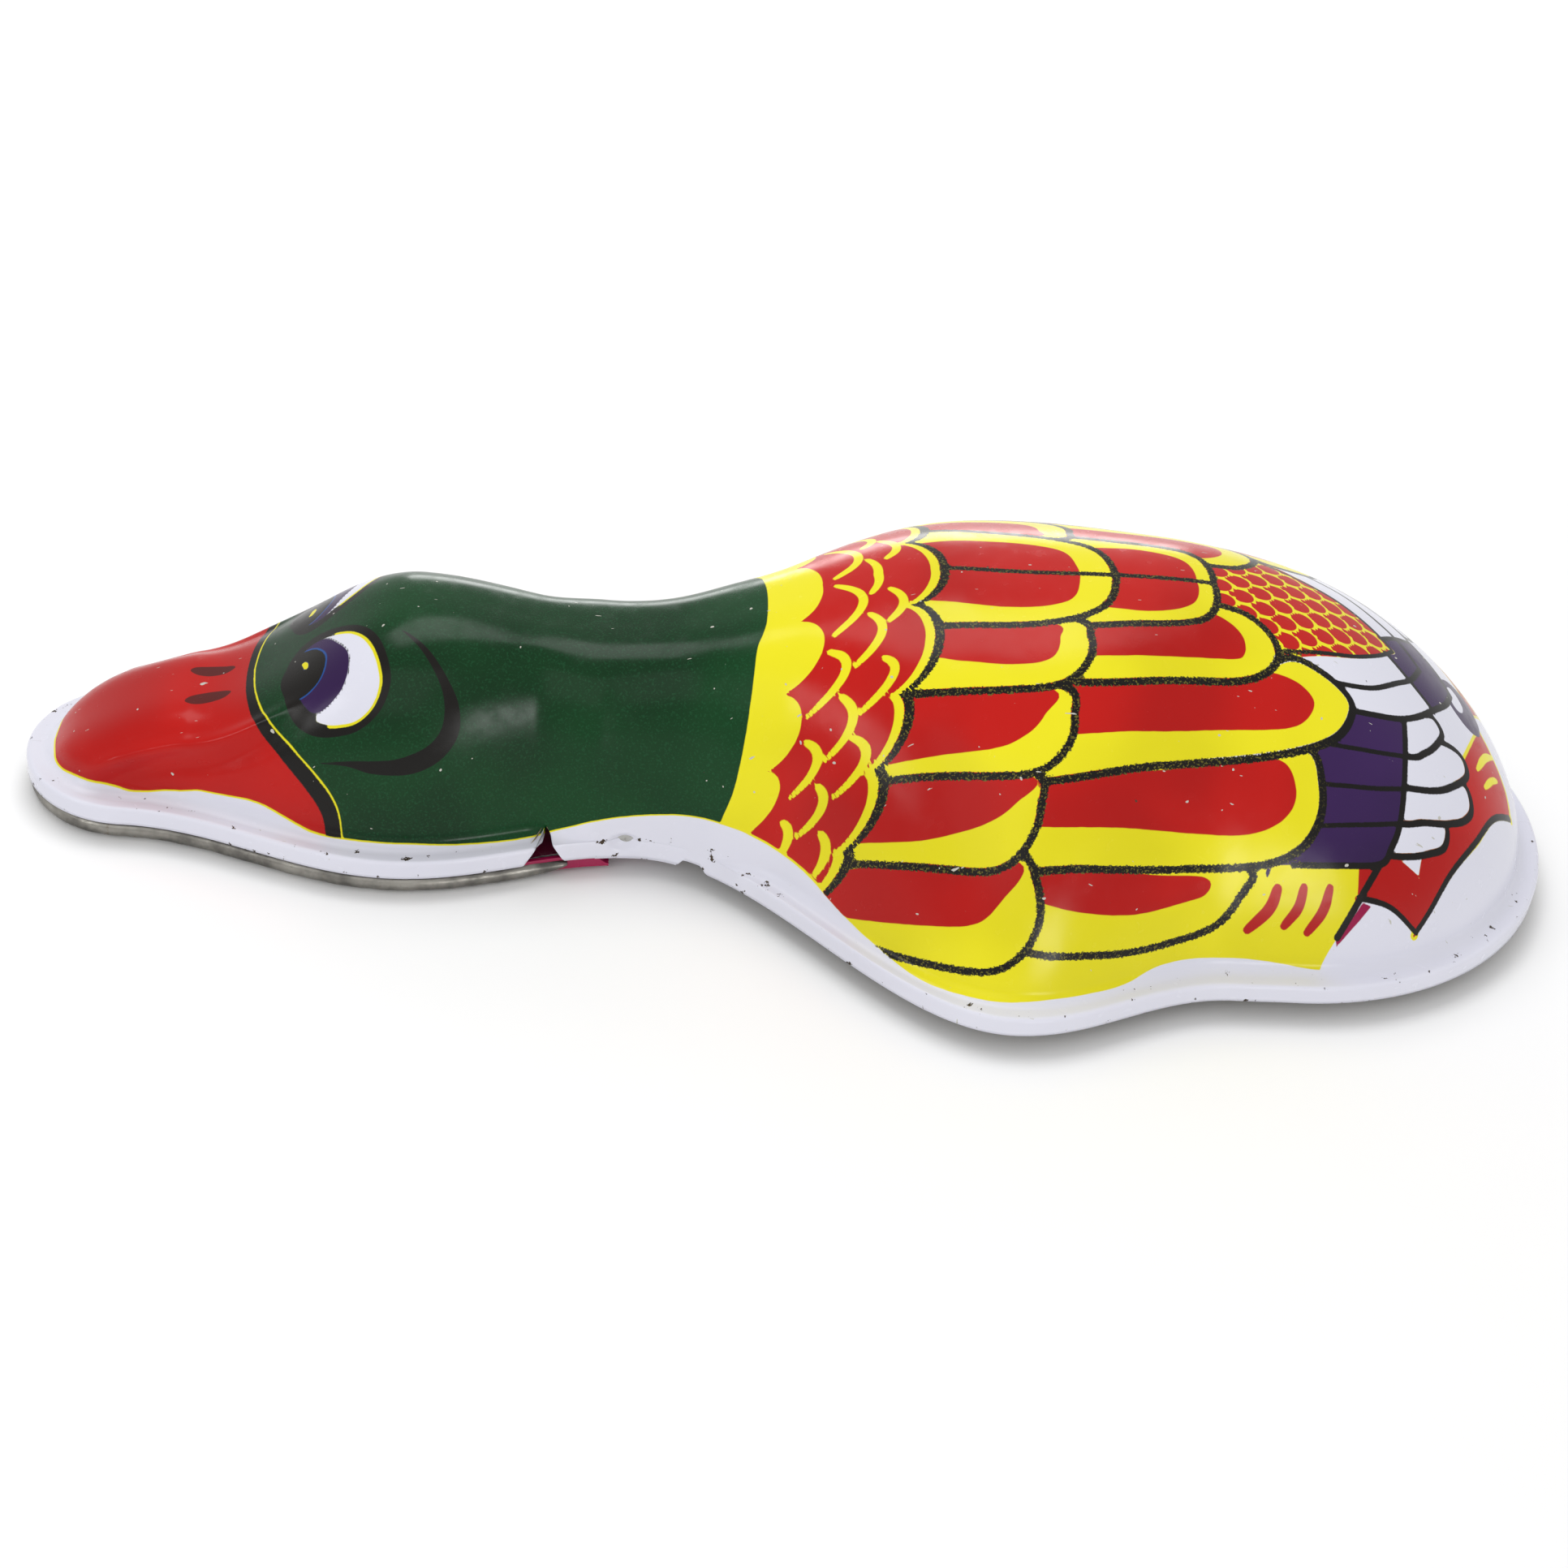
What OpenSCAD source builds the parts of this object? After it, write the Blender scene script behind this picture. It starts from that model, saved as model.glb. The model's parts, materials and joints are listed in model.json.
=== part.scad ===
// Pressed-tin quacking duck: a hollow one-piece duck with a sprung lower bill.
// Pressing the lever under the body opens the bill and draws a toothed comb past a reed.
// X runs from the bill to the tail, Z is up, and the toy stands on z = 0.

/* [Duck shell] */
// Overall length from the bill's edge to the tail's edge
length = 150; // [140:1:190]
// Thickness of the tin sheet
wall = 0.3; // [0.25:0.05:0.45]
// Width across the bill, over the flange
bill_w = 19.4; // [16:0.2:24]
// Width across the head, over the flange
head_w = 31.2; // [26:0.2:40]
// Width across the neck
neck_w = 21.4; // [20:0.2:26]
// Width across the body, over the flange
body_w = 66.4; // [54:0.2:84]
// Width across the tail, over the flange
tail_w = 53.8; // [44:0.2:66]
// Height of the bill above the flange
bill_h = 8.2; // [6.6:0.1:10]
// Height of the head above the flange
head_h = 19.6; // [16:0.2:24]
// Height of the neck above the flange
neck_h = 17.8; // [14.8:0.1:21.6]
// Height of the breast above the flange
breast_h = 26.5; // [21:0.5:32]
// Height of the back above the flange
back_h = 27.3; // [22:0.1:33]
// Width of the flat flange round the dome
flange_w = 2.4; // [1.6:0.1:3.2]
// Depth of the turned-down lip, from the flange's top face
lip_h = 1.9; // [1.4:0.1:2.6]

/* [Lower bill] */
// Thickness of the lower bill's plate
jaw_t = 0.4; // [0.3:0.05:0.6]
// Width of the curled rim
rim_w = 1.8; // [1.2:0.1:2.4]
// Height of the curled rim
rim_h = 1.9; // [1.5:0.1:2.6]
// Gap between the curled rim and the duck's lip
mouth_gap = 0.3; // [0.2:0.05:0.6]
// Width of the tongue that runs back through the neck
tongue_w = 14.2; // [11:0.2:15]
// Thickness of the tongue's turned-up ears
ear_t = 0.5; // [0.4:0.05:0.8]

/* [Hinge] */
// Distance of the hinge pin behind the bill's edge
pin_from_tip = 57.7; // [54:0.1:60]
// Height of the pin's axis above the table
pin_z = 3.8; // [3.6:0.05:4.4]
// Radius of the hinge pin
pin_r = 0.9; // [0.7:0.05:1.1]
// Radial clearance of the ears' bores on the pin
pin_fit = 0.05; // [0.02:0.01:0.1]
// Radius of the ears round the pin
ear_r = 2.1; // [1.8:0.1:2.6]
// Wire diameter of the return spring
wire_d = 0.5; // [0.35:0.05:0.6]
// Turns of the return spring
spring_turns = 3; // [2:1:5]

/* [Squeeze lever] */
// Thickness of the lever
lever_t = 0.6; // [0.5:0.05:0.9]
// Width of the lever's arm
lever_w = 14; // [10:0.5:18]
// Distance of the finger pad's end behind the pin
lever_reach = 64; // [56:1:70]
// Width of the finger pad
pad_w = 22; // [16:1:28]
// Length of the finger pad
pad_len = 26; // [18:1:32]

/* [Quacker] */
// Distance of the comb's tooth tips from the pin's axis
comb_r = 29.4; // [26:0.2:33]
// Depth of the comb's teeth
tooth_h = 0.6; // [0.4:0.1:0.9]
// Number of teeth
teeth = 14; // [8:1:18]
// Width of the comb
comb_w = 8; // [6:0.5:10]
// Thickness of the comb's strip behind the teeth
comb_t = 1.0; // [0.8:0.1:1.4]
// Thickness of the reed
reed_t = 0.25; // [0.2:0.05:0.35]
// Width of the reed
reed_w = 7; // [6:0.5:8]
// Gap between the reed's tip and the comb's tooth tips
reed_gap = 0.25; // [0.2:0.05:0.4]
// Play of the reed under and over its clamp
reed_play = 0.12; // [0.1:0.02:0.2]

/* [Hidden] */
$fn = 48;

// Lengthwise stations, measured from the bill's edge at the front
tip_x = -length / 2;
end_x = length / 2;
bill_x = tip_x + 10;
head_x = tip_x + 35.5;
neck_x = tip_x + 59;
body_x = tip_x + 93.5;
waist_x = tip_x + 115;
tail_x = tip_x + 121;
pin_x = tip_x + pin_from_tip;

// Heights from the table up
lip_z = rim_h + mouth_gap;
flange_z = lip_z + lip_h;
tongue_z = lever_t;

// The neck's narrow stretch, where the flange runs out into a straight side wall
neck_front = pin_x - 2.7;
neck_back = pin_x + 7.3;
neck_inset = wall;
notch_front = pin_x - 9.7;
notch_back = pin_x - 5.5;
notch_top = flange_z + 1;
tab_back = pin_x + 5.1;
tab_t = wall;
tab_in = 2.7;

// Bridge across the neck: two ears carry the pin, two feet lie on the folded tabs
bridge_t = 0.6;
ear_gap = 0.4;
bridge_in = tongue_w / 2 + ear_gap;
bridge_front = pin_x - 4.2;
bridge_back = pin_x + 8.3;
foot_z = lip_z + tab_t / 2;
foot_out = neck_w / 2 - wall - 0.1;
plate_z = pin_z + 3.2;
plate_top = plate_z + bridge_t;

// Reed and its clamp
clamp_len = 4.2;
clamp_t = 0.5;
clamp_x = bridge_back - clamp_len / 2 - 0.1;
reed_z = plate_top + reed_play;
clamp_z = reed_z + reed_t + reed_play;
reed_rivet_r = 0.6;
reed_rivet_y = 2.4;
reed_hole_r = reed_rivet_r + 0.2;
rivet_head_h = 0.45;
reed_tip_r = comb_r - reed_gap;
reed_tip_x = pin_x + sqrt(pow(reed_tip_r, 2) - pow(reed_z + reed_t - pin_z, 2));

// Rivets that join the lever to the tongue and the comb to the lever
rivet_r = 1;
rivet_head_r = 1.7;
lever_rivet_x = pin_x + 6.8;
lever_rivet_y = 3.4;
comb_rivet_x = pin_x + comb_r + tooth_h + comb_t + 3;
comb_rivet_y = 2.2;
comb_foot_t = 0.6;
lever_front = pin_x + 4.3;
tongue_back = pin_x + 9.3;
rim_back = notch_back;
jaw_inset = 0.1;

// Half-cosine step from 0 to 1
function ease(t) = (1 - cos(180 * t)) / 2;

// Value at x along a list of [x, value] stations, eased from each one to the next
function track(x, p, i = 0) =
    x <= p[0][0] ? p[0][1] :
    i == len(p) - 1 ? p[i][1] :
    x <= p[i + 1][0] ? p[i][1] + (p[i + 1][1] - p[i][1]) * ease((x - p[i][0]) / (p[i + 1][0] - p[i][0])) :
    track(x, p, i + 1);

// Round end: 1 up to from_x, falling to 0 at to_x along a superellipse of power n
function round_end(x, from_x, to_x, n) =
    let (t = (x - from_x) / (to_x - from_x)) t <= 0 ? 1 : t >= 1 ? 0 : pow(1 - pow(t, n), 1 / n);

// Half width of the plan outline, set in by inset on every side
function half_w(x, inset) =
    track(x, [[bill_x, bill_w / 2], [head_x, head_w / 2], [neck_x, neck_w / 2], [body_x, body_w / 2],
        [waist_x, tail_w / 2 + 0.1], [tail_x, tail_w / 2]]) - inset;
function outline(x, inset, end_inset) =
    half_w(x, inset) * round_end(x, bill_x, tip_x + end_inset, 2) * round_end(x, tail_x, end_x - end_inset, 2);

// Width of the flange, which runs out along the neck
function flange_at(x) =
    track(x, [[notch_front, flange_w], [neck_front, neck_inset], [neck_back, neck_inset], [neck_back + 8, flange_w]]);

// Height of the dome above the flange along the back
function dome_h(x) =
    track(x, [[tip_x + 16, bill_h], [tip_x + 37.5, head_h], [tip_x + 54, neck_h], [tip_x + 89, breast_h],
        [tip_x + 109, back_h]])
    * round_end(x, tip_x + 16, tip_x + flange_w, 1.4) * round_end(x, tip_x + 109, end_x - flange_w, 1.65);

// Powers p and q of the cross-section h * (1 - t^p)^q: a large p flattens the top, a small q steepens the sides
function flatness(x) =
    track(x, [[tip_x + 16, 4], [tip_x + 37.5, 2.8], [tip_x + 54, 3.6], [tip_x + 89, 2.4], [end_x - 15, 2.2]]);
function steepness(x) =
    track(x, [[tip_x + 16, 0.35], [tip_x + 37.5, 0.55], [tip_x + 54, 0.65], [tip_x + 89, 0.85], [end_x - 15, 0.6]]);

// Station x for step i of n, with the steps closer together towards the ends
function station(i, n, end_inset) = -(length / 2 - end_inset) * cos(180 * i / n);

// One skin of the shell across station i: right lip, flange, dome, left flange and lip
function skin(i, n, m, in) =
    let (x = station(i, n, in), xd = station(i, n, flange_w + in), out = outline(x, in, in),
        foot = outline(xd, flange_at(xd) + in, flange_w + in), h = dome_h(xd), p = flatness(xd), q = steepness(xd))
    concat(
        [[x, -out, lip_z], [x, -out, flange_z - in]],
        [for (k = [0:m]) let (t = -cos(180 * k / m)) [xd, t * foot, flange_z - in + h * pow(max(0, 1 - pow(abs(t), p)), q)]],
        [[x, out, flange_z - in], [x, out, lip_z]]);

function reversed(p) = [for (k = [len(p) - 1:-1:0]) p[k]];

// The stamping as one closed solid: an outer and an inner skin that meet at the lip's edge
module stamping(n = 64, m = 22) {
    row = m + 5;
    loop = 2 * row;
    // At both ends the section closes to six points on the middle line
    fold = [for (j = [0:row - 1]) min(2, min(j, row - 1 - j))];
    ends = concat(fold, [for (f = fold) 5 - f]);
    tip = function (x, dx) [[x, 0, lip_z], [x, 0, flange_z], [x + dx * flange_w, 0, flange_z],
        [x + dx * (flange_w + wall), 0, flange_z - wall], [x + dx * wall, 0, flange_z - wall], [x + dx * wall, 0, lip_z]];
    points = concat(tip(tip_x, 1), [for (i = [1:n - 1]) each concat(skin(i, n, m, 0), reversed(skin(i, n, m, wall)))],
        tip(end_x, -1));
    index = function (i, j) i == 0 ? ends[j] : i == n ? 6 + (n - 1) * loop + ends[j] : 6 + (i - 1) * loop + j;
    faces = [for (i = [0:n - 1]) for (j = [0:loop - 1])
        let (k = (j + 1) % loop, a = index(i, j), b = index(i, k), c = index(i + 1, k), d = index(i + 1, j))
        each [[a, b, c], [a, c, d]]];
    polyhedron(points, [for (f = faces) if (f[0] != f[1] && f[1] != f[2] && f[2] != f[0]) f], convexity = 8);
}

// Shape in the XZ plane, extruded to width w centred on y
module across(w, y = 0) {
    translate([0, y + w / 2, 0]) rotate([90, 0, 0]) linear_extrude(w) children();
}

// Strip that follows the plan outline from x0 to x1, from inset a to inset b
module outline_strip(x0, x1, a, b, n = 12) {
    xs = [for (i = [0:n]) x0 + (x1 - x0) * i / n];
    polygon(concat([for (x = xs) [x, outline(x, a, a)]], [for (x = reversed(xs)) [x, outline(x, b, b)]]));
}

module both_sides() {
    children();
    mirror([0, 1, 0]) children();
}

module duck_shell() color("forestgreen") {
    difference() {
        stamping();
        across(head_w + 2) polygon([[notch_front, lip_z - 1], [notch_back, lip_z - 1], [(notch_front + notch_back) / 2, notch_top]]);
        translate([tab_back, -neck_w / 2 - 2, lip_z - 1]) cube([2.9, neck_w + 4, 1.7]);
    }
    // Tabs of the neck's lip, folded in under the bridge's feet
    both_sides() translate([0, 0, foot_z - tab_t]) linear_extrude(tab_t) outline_strip(neck_front, tab_back, 0, tab_in);
}

module neck_bridge() color("tan") difference() {
    union() {
        translate([bridge_front, -bridge_in - bridge_t, plate_z])
            cube([bridge_back - bridge_front, 2 * (bridge_in + bridge_t), bridge_t]);
        both_sides() {
            translate([bridge_front, bridge_in, foot_z]) cube([bridge_back - bridge_front, bridge_t, plate_top - foot_z]);
            translate([bridge_front, bridge_in, foot_z]) cube([bridge_back - bridge_front, foot_out - bridge_in, bridge_t]);
        }
    }
    translate([pin_x, 0, pin_z]) rotate([90, 0, 0]) cylinder(r = pin_r, h = 2 * neck_w, center = true);
    both_sides() translate([clamp_x, reed_rivet_y, 0]) cylinder(r = reed_rivet_r, h = 3 * plate_top);
}

module pivot_pin() color("silver")
    translate([pin_x, 0, pin_z]) rotate([90, 0, 0]) cylinder(r = pin_r, h = 2 * foot_out - 0.4, center = true);

// Route of the spring's wire: a leg under the bridge, the coil on the pin, a leg on the tongue
coil_r = pin_r + 0.3 + wire_d / 2;
coil_pitch = wire_d + 0.1;
leg_end = bridge_back - 1.2 - pin_x;
top_leg_z = plate_z - wire_d / 2 - 0.02 - pin_z;
low_leg_z = tongue_z + jaw_t + wire_d / 2 + 0.02 - pin_z;
coil_steps = 20;
top_angle = asin(coil_r / norm([leg_end, top_leg_z])) + atan2(top_leg_z, leg_end);
low_angle = asin(coil_r / norm([leg_end, low_leg_z])) - atan2(low_leg_z, leg_end);
start_angle = 90 + top_angle;
sweep = 360 * spring_turns - 180 - top_angle - low_angle + 360;
coil_y = function (a) coil_pitch * (a / 360 - sweep / 720);
wire_route = concat(
    [[leg_end, coil_y(0), top_leg_z]],
    [for (i = [0:coil_steps * spring_turns + 6]) let (a = sweep * i / (coil_steps * spring_turns + 6))
        [coil_r * cos(start_angle + a), coil_y(a), coil_r * sin(start_angle + a)]],
    [[leg_end, coil_y(sweep), low_leg_z]]);

// Round wire of radius r swept along route, whose bends all turn about the Y axis
module wire(route, r, sides = 8) {
    n = len(route);
    ahead = [for (i = [0:n - 1]) let (d = route[min(i + 1, n - 1)] - route[max(i - 1, 0)]) d / norm(d)];
    points = [for (i = [0:n - 1]) let (u = cross(ahead[i], [0, 1, 0]) / norm(cross(ahead[i], [0, 1, 0])), v = cross(u, ahead[i]))
        for (k = [0:sides - 1]) route[i] + r * (cos(360 * k / sides) * u + sin(360 * k / sides) * v)];
    walls = [for (i = [0:n - 2]) for (k = [0:sides - 1]) let (l = (k + 1) % sides)
        [i * sides + k, i * sides + l, (i + 1) * sides + l, (i + 1) * sides + k]];
    polyhedron(points, concat(walls, [[for (k = [sides - 1:-1:0]) k], [for (k = [0:sides - 1]) (n - 1) * sides + k]]));
}

module return_spring() color("gainsboro") translate([pin_x, 0, pin_z]) wire(wire_route, wire_d / 2);

module reed_clamp() color("tan") difference() {
    translate([clamp_x - clamp_len / 2, -reed_w / 2, clamp_z]) cube([clamp_len, reed_w, clamp_t]);
    both_sides() translate([clamp_x, reed_rivet_y, 0]) cylinder(r = reed_rivet_r, h = 3 * plate_top);
}

module reed_rivet() color("silver") translate([clamp_x, reed_rivet_y, 0]) {
    translate([0, 0, plate_z - rivet_head_h]) cylinder(r = reed_rivet_r + 0.25, h = rivet_head_h);
    translate([0, 0, plate_z]) cylinder(r = reed_rivet_r, h = clamp_z + clamp_t - plate_z);
    translate([0, 0, clamp_z + clamp_t]) cylinder(r = reed_rivet_r + 0.4, h = rivet_head_h);
}

module reed_rivet_left() reed_rivet();
module reed_rivet_right() mirror([0, 1, 0]) reed_rivet();

module quack_reed() color("lightsteelblue") difference() {
    translate([clamp_x - clamp_len / 2, -reed_w / 2, reed_z])
        cube([reed_tip_x - clamp_x + clamp_len / 2, reed_w, reed_t]);
    both_sides() translate([clamp_x, reed_rivet_y, 0]) cylinder(r = reed_hole_r, h = 3 * plate_top);
}

// Plan outline of the lower bill from its edge back to x_end, set in by inset
module jaw_plan(inset, x_end, n = 40) {
    a = tip_x + inset;
    xs = [for (i = [1:n]) a + (x_end - a) * (1 - cos(90 * i / n))];
    polygon(concat([[a, 0]], [for (x = xs) [x, outline(x, inset, inset)]],
        [for (x = reversed(xs)) [x, -outline(x, inset, inset)]]));
}

module lower_jaw() color("mediumvioletred") {
    // Curled rim, open at the back
    linear_extrude(rim_h) difference() {
        jaw_plan(jaw_inset, rim_back);
        jaw_plan(jaw_inset + rim_w, rim_back + 1);
    }
    // Pan and tongue
    translate([0, 0, tongue_z]) linear_extrude(jaw_t) {
        jaw_plan(jaw_inset + rim_w - 0.1, rim_back);
        difference() {
            translate([rim_back - 6, -tongue_w / 2]) square([tongue_back - rim_back + 6, tongue_w]);
            both_sides() translate([lever_rivet_x, lever_rivet_y]) circle(r = rivet_r);
        }
    }
    // Ears that turn on the pin
    both_sides() across(ear_t, tongue_w / 2 - ear_t / 2) difference() {
        union() {
            translate([pin_x, pin_z]) circle(r = ear_r);
            translate([pin_x - ear_r, tongue_z]) square([2 * ear_r, pin_z - tongue_z]);
        }
        translate([pin_x, pin_z]) circle(r = pin_r + pin_fit);
    }
}

module rivet_holes(x, y) {
    for (side = [-1, 1]) translate([x, side * y]) circle(r = rivet_r);
}

module squeeze_lever() color("silver") linear_extrude(lever_t) difference() {
    pad_end = pin_x + lever_reach;
    union() {
        translate([lever_front, -lever_w / 2]) square([pad_end - pad_len / 2 - lever_front, lever_w]);
        hull() {
            translate([pad_end - pad_w / 2, 0]) circle(d = pad_w);
            translate([pad_end - pad_len + pad_w / 4, 0]) square([pad_w / 2, pad_w], center = true);
        }
    }
    rivet_holes(lever_rivet_x, lever_rivet_y);
    rivet_holes(comb_rivet_x, comb_rivet_y);
}

// Rivet through a stack of sheets of height grip, flush below and headed on top
module rivet(x, y, grip) color("silver") translate([x, y, 0]) {
    cylinder(r = rivet_r, h = grip);
    translate([0, 0, grip]) cylinder(r = rivet_head_r, h = rivet_head_h);
}

module lever_rivet_left() rivet(lever_rivet_x, lever_rivet_y, tongue_z + jaw_t);
module lever_rivet_right() rivet(lever_rivet_x, -lever_rivet_y, tongue_z + jaw_t);

// Comb: an arc of saw teeth about the pin, on a foot riveted to the lever
module quack_comb() color("silver") {
    r_out = comb_r + tooth_h + comb_t;
    low = -asin((pin_z - lever_t) / r_out);
    high = 11;
    pitch = (high - low) / teeth;
    difference() {
        union() {
            across(comb_w) translate([pin_x, pin_z]) polygon(concat(
                [for (i = [0:teeth]) r_out * [cos(low + pitch * i), sin(low + pitch * i)]],
                [for (i = [teeth:-1:1]) each [
                    comb_r * [cos(low + pitch * i), sin(low + pitch * i)],
                    (comb_r + tooth_h) * [cos(low + pitch * (i - 0.35)), sin(low + pitch * (i - 0.35))]]],
                [(comb_r + tooth_h) * [cos(low), sin(low)]]));
            translate([pin_x + r_out - comb_t, -comb_w / 2, lever_t])
                cube([comb_rivet_x + 2.4 - pin_x - r_out + comb_t, comb_w, comb_foot_t]);
        }
        translate([0, 0, -1]) cube([2 * length, 2 * comb_w, 2 * (lever_t + 1)], center = true);
        for (side = [-1, 1]) translate([comb_rivet_x, side * comb_rivet_y, 0]) cylinder(r = rivet_r, h = 3);
    }
}

module comb_rivet_left() rivet(comb_rivet_x, comb_rivet_y, lever_t + comb_foot_t);
module comb_rivet_right() rivet(comb_rivet_x, -comb_rivet_y, lever_t + comb_foot_t);

duck_shell();
neck_bridge();
pivot_pin();
return_spring();
reed_clamp();
reed_rivet_left();
reed_rivet_right();
quack_reed();
lower_jaw();
squeeze_lever();
lever_rivet_left();
lever_rivet_right();
quack_comb();
comb_rivet_left();
comb_rivet_right();
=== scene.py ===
"""A pressed-tin quacking duck: lithographed skin, lower bill and quacker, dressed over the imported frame."""
import json

import bmesh
import bpy
import mathutils
import numpy as np
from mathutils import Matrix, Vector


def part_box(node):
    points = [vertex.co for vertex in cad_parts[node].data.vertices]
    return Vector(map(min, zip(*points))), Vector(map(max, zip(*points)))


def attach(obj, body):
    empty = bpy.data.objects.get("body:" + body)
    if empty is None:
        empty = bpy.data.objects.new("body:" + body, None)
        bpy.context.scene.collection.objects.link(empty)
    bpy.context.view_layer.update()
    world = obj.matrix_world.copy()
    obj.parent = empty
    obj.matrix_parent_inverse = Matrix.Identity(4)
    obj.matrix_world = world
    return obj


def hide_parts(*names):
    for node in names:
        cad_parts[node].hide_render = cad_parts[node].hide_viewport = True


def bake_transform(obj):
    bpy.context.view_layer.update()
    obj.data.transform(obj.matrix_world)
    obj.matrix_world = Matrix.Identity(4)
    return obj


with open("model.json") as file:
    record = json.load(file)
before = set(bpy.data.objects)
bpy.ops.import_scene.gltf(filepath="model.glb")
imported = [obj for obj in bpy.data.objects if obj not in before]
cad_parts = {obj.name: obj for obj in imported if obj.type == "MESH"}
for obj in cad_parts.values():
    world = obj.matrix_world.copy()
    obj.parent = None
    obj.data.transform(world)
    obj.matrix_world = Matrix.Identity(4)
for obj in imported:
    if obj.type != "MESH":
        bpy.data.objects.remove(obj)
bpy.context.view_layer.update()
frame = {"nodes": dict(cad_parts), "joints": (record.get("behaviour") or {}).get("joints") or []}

MM = 0.001

# Places from the frame, in millimetres
TIP, END = (corner[0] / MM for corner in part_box("duck_shell"))
HINGE = np.array(next(j for j in frame["joints"] if j["name"] == "jaw_hinge")["pos_m"]) / MM
# The stamping's sizes, and where its cut-outs, straight neck and folded tabs start and stop
WALL = 0.3
FLANGE_W = 2.4
LIP_H = 1.9
LIP_Z = 2.2
FLANGE_Z = LIP_Z + LIP_H
NOTCH = (HINGE[0] - 9.7, HINGE[0] - 5.5)
NECK = (HINGE[0] - 2.7, HINGE[0] + 7.3)
TAB = (HINGE[0] - 2.7, HINGE[0] + 5.1)
# Distance of the bill's crease from the ridge, measured along the sheet
SHOULDER_W = 7.7


# ---------------------------------------------------------------- shape of the duck

def ease(t):
    """Half-cosine step from 0 to 1."""
    return (1 - np.cos(np.pi * np.clip(t, 0, 1))) / 2


def track(x, stations):
    """Value at x along (place from the bill's edge, value) stations, eased from each to the next."""
    out = np.full(np.shape(x), float(stations[0][1]))
    for (a, va), (b, vb) in zip(stations, stations[1:]):
        out = out + (vb - va) * ease((x - TIP - a) / (b - a))
    return out


def round_end(x, start, stop, power):
    """1 up to start, then down to 0 at stop along a superellipse."""
    t = np.clip((x - start) / (stop - start), 0, 1)
    return (1 - t ** power) ** (1 / power)


def outline(x, inset, end_inset):
    """Half width of the plan: eased stations, a round bill and a round tail."""
    width = track(x, [(10, 9.7), (35.5, 15.6), (59, 10.7), (93.5, 33.2), (115, 27.0), (121, 26.9)])
    ends = round_end(x, TIP + 10, TIP + end_inset, 2) * round_end(x, TIP + 121, END - end_inset, 2)
    return (width - inset) * ends


def flange_width(x):
    """The flange runs out into a straight wall along the neck."""
    a, b, c, d = NOTCH[0], NECK[0], NECK[1], NECK[1] + 8
    return track(x, [(a - TIP, FLANGE_W), (b - TIP, WALL), (c - TIP, WALL), (d - TIP, FLANGE_W)])


def dome_height(x):
    """Height of the back above the flange: bill, head, neck, breast and back, rounded off at both ends."""
    high = track(x, [(16, 8.2), (37.5, 19.6), (54, 17.8), (89, 26.5), (109, 27.3)])
    return high * round_end(x, TIP + 16, TIP + FLANGE_W, 1.4) * round_end(x, TIP + 109, END - FLANGE_W, 1.65)


def cross_section(x, t):
    """Height share (1 - |t|^p)^q at share t of the half width."""
    p = track(x, [(16, 4), (37.5, 2.8), (54, 3.6), (89, 2.4), (135, 2.2)])
    q = track(x, [(16, 0.35), (37.5, 0.55), (54, 0.65), (89, 0.85), (135, 0.6)])
    return np.clip(1 - np.abs(t) ** p, 0, 1) ** q


def plan_normal(x, y):
    """Outward direction in plan along a half outline given at every station."""
    dx, dy = np.gradient(x), np.gradient(y)
    size = np.hypot(dx, dy)
    return -dy / size, dx / size


def lip_profile(reach, corner_out, rows):
    """Offset inwards and height along the rim: up the lip, round the corner and in across the flange."""
    corner = 0.5
    up = np.linspace(0, LIP_H - corner, rows // 3)
    turn = np.linspace(0, np.pi / 2, rows // 3 + 1)[1:]
    flat = np.linspace(0, 1, rows // 3 + 1)[1:-1]
    z = np.concatenate([LIP_Z + up, FLANGE_Z - corner + corner * np.sin(turn), np.full(len(flat), FLANGE_Z)])
    bend = np.concatenate([0 * up, 1 - np.cos(turn), np.ones(len(flat))])
    run = np.concatenate([0 * up, 0 * turn, flat])
    off = corner_out * bend + (reach - corner_out) * run
    # Along the neck the wall rises straight, with no flange or corner
    plain = np.clip((reach - 0.35) / 0.8, 0, 1)
    return plain * off + (1 - plain) * reach * (z - LIP_Z) / LIP_H, z


def cut_height(x):
    """Height the lip is cut back to: a V before the hinge and a shallow step behind the tab."""
    middle, half = sum(NOTCH) / 2, (NOTCH[1] - NOTCH[0]) / 2 + 0.4
    v = LIP_Z - 1 + 4.2 * np.clip(1 - np.abs(x - middle) / half, 0, 1)
    step = LIP_Z + 0.7 * ease((x - TAB[1]) / 0.7) * ease((TAB[1] + 2.9 - x) / 0.7)
    return np.maximum(v, step)


def dome_surface(stations, across, inset):
    """Dome over the stations: x and y by half-cosine steps, with a fillet at the foot."""
    x = -((END - TIP) / 2 - FLANGE_W - inset) * np.cos(np.pi * stations)
    t = -np.cos(np.pi * np.linspace(0, 1, across))[None, :]
    foot = outline(x, flange_width(x) + inset, FLANGE_W + inset)
    nx, ny = plan_normal(x, foot)
    height = dome_height(x)[:, None] * cross_section(x[:, None], t)
    r = 1.1 * np.clip((flange_width(x) - WALL) / 1.0, 0, 1)[:, None] + 1e-6
    lift = r - np.sqrt(np.clip(r ** 2 - np.clip(r - height, 0, r) ** 2, 0, None))
    return np.stack([
        x[:, None] + lift * nx[:, None],
        t * foot[:, None] + lift * ny[:, None] * t,
        FLANGE_Z - inset + height], axis=2)


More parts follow.
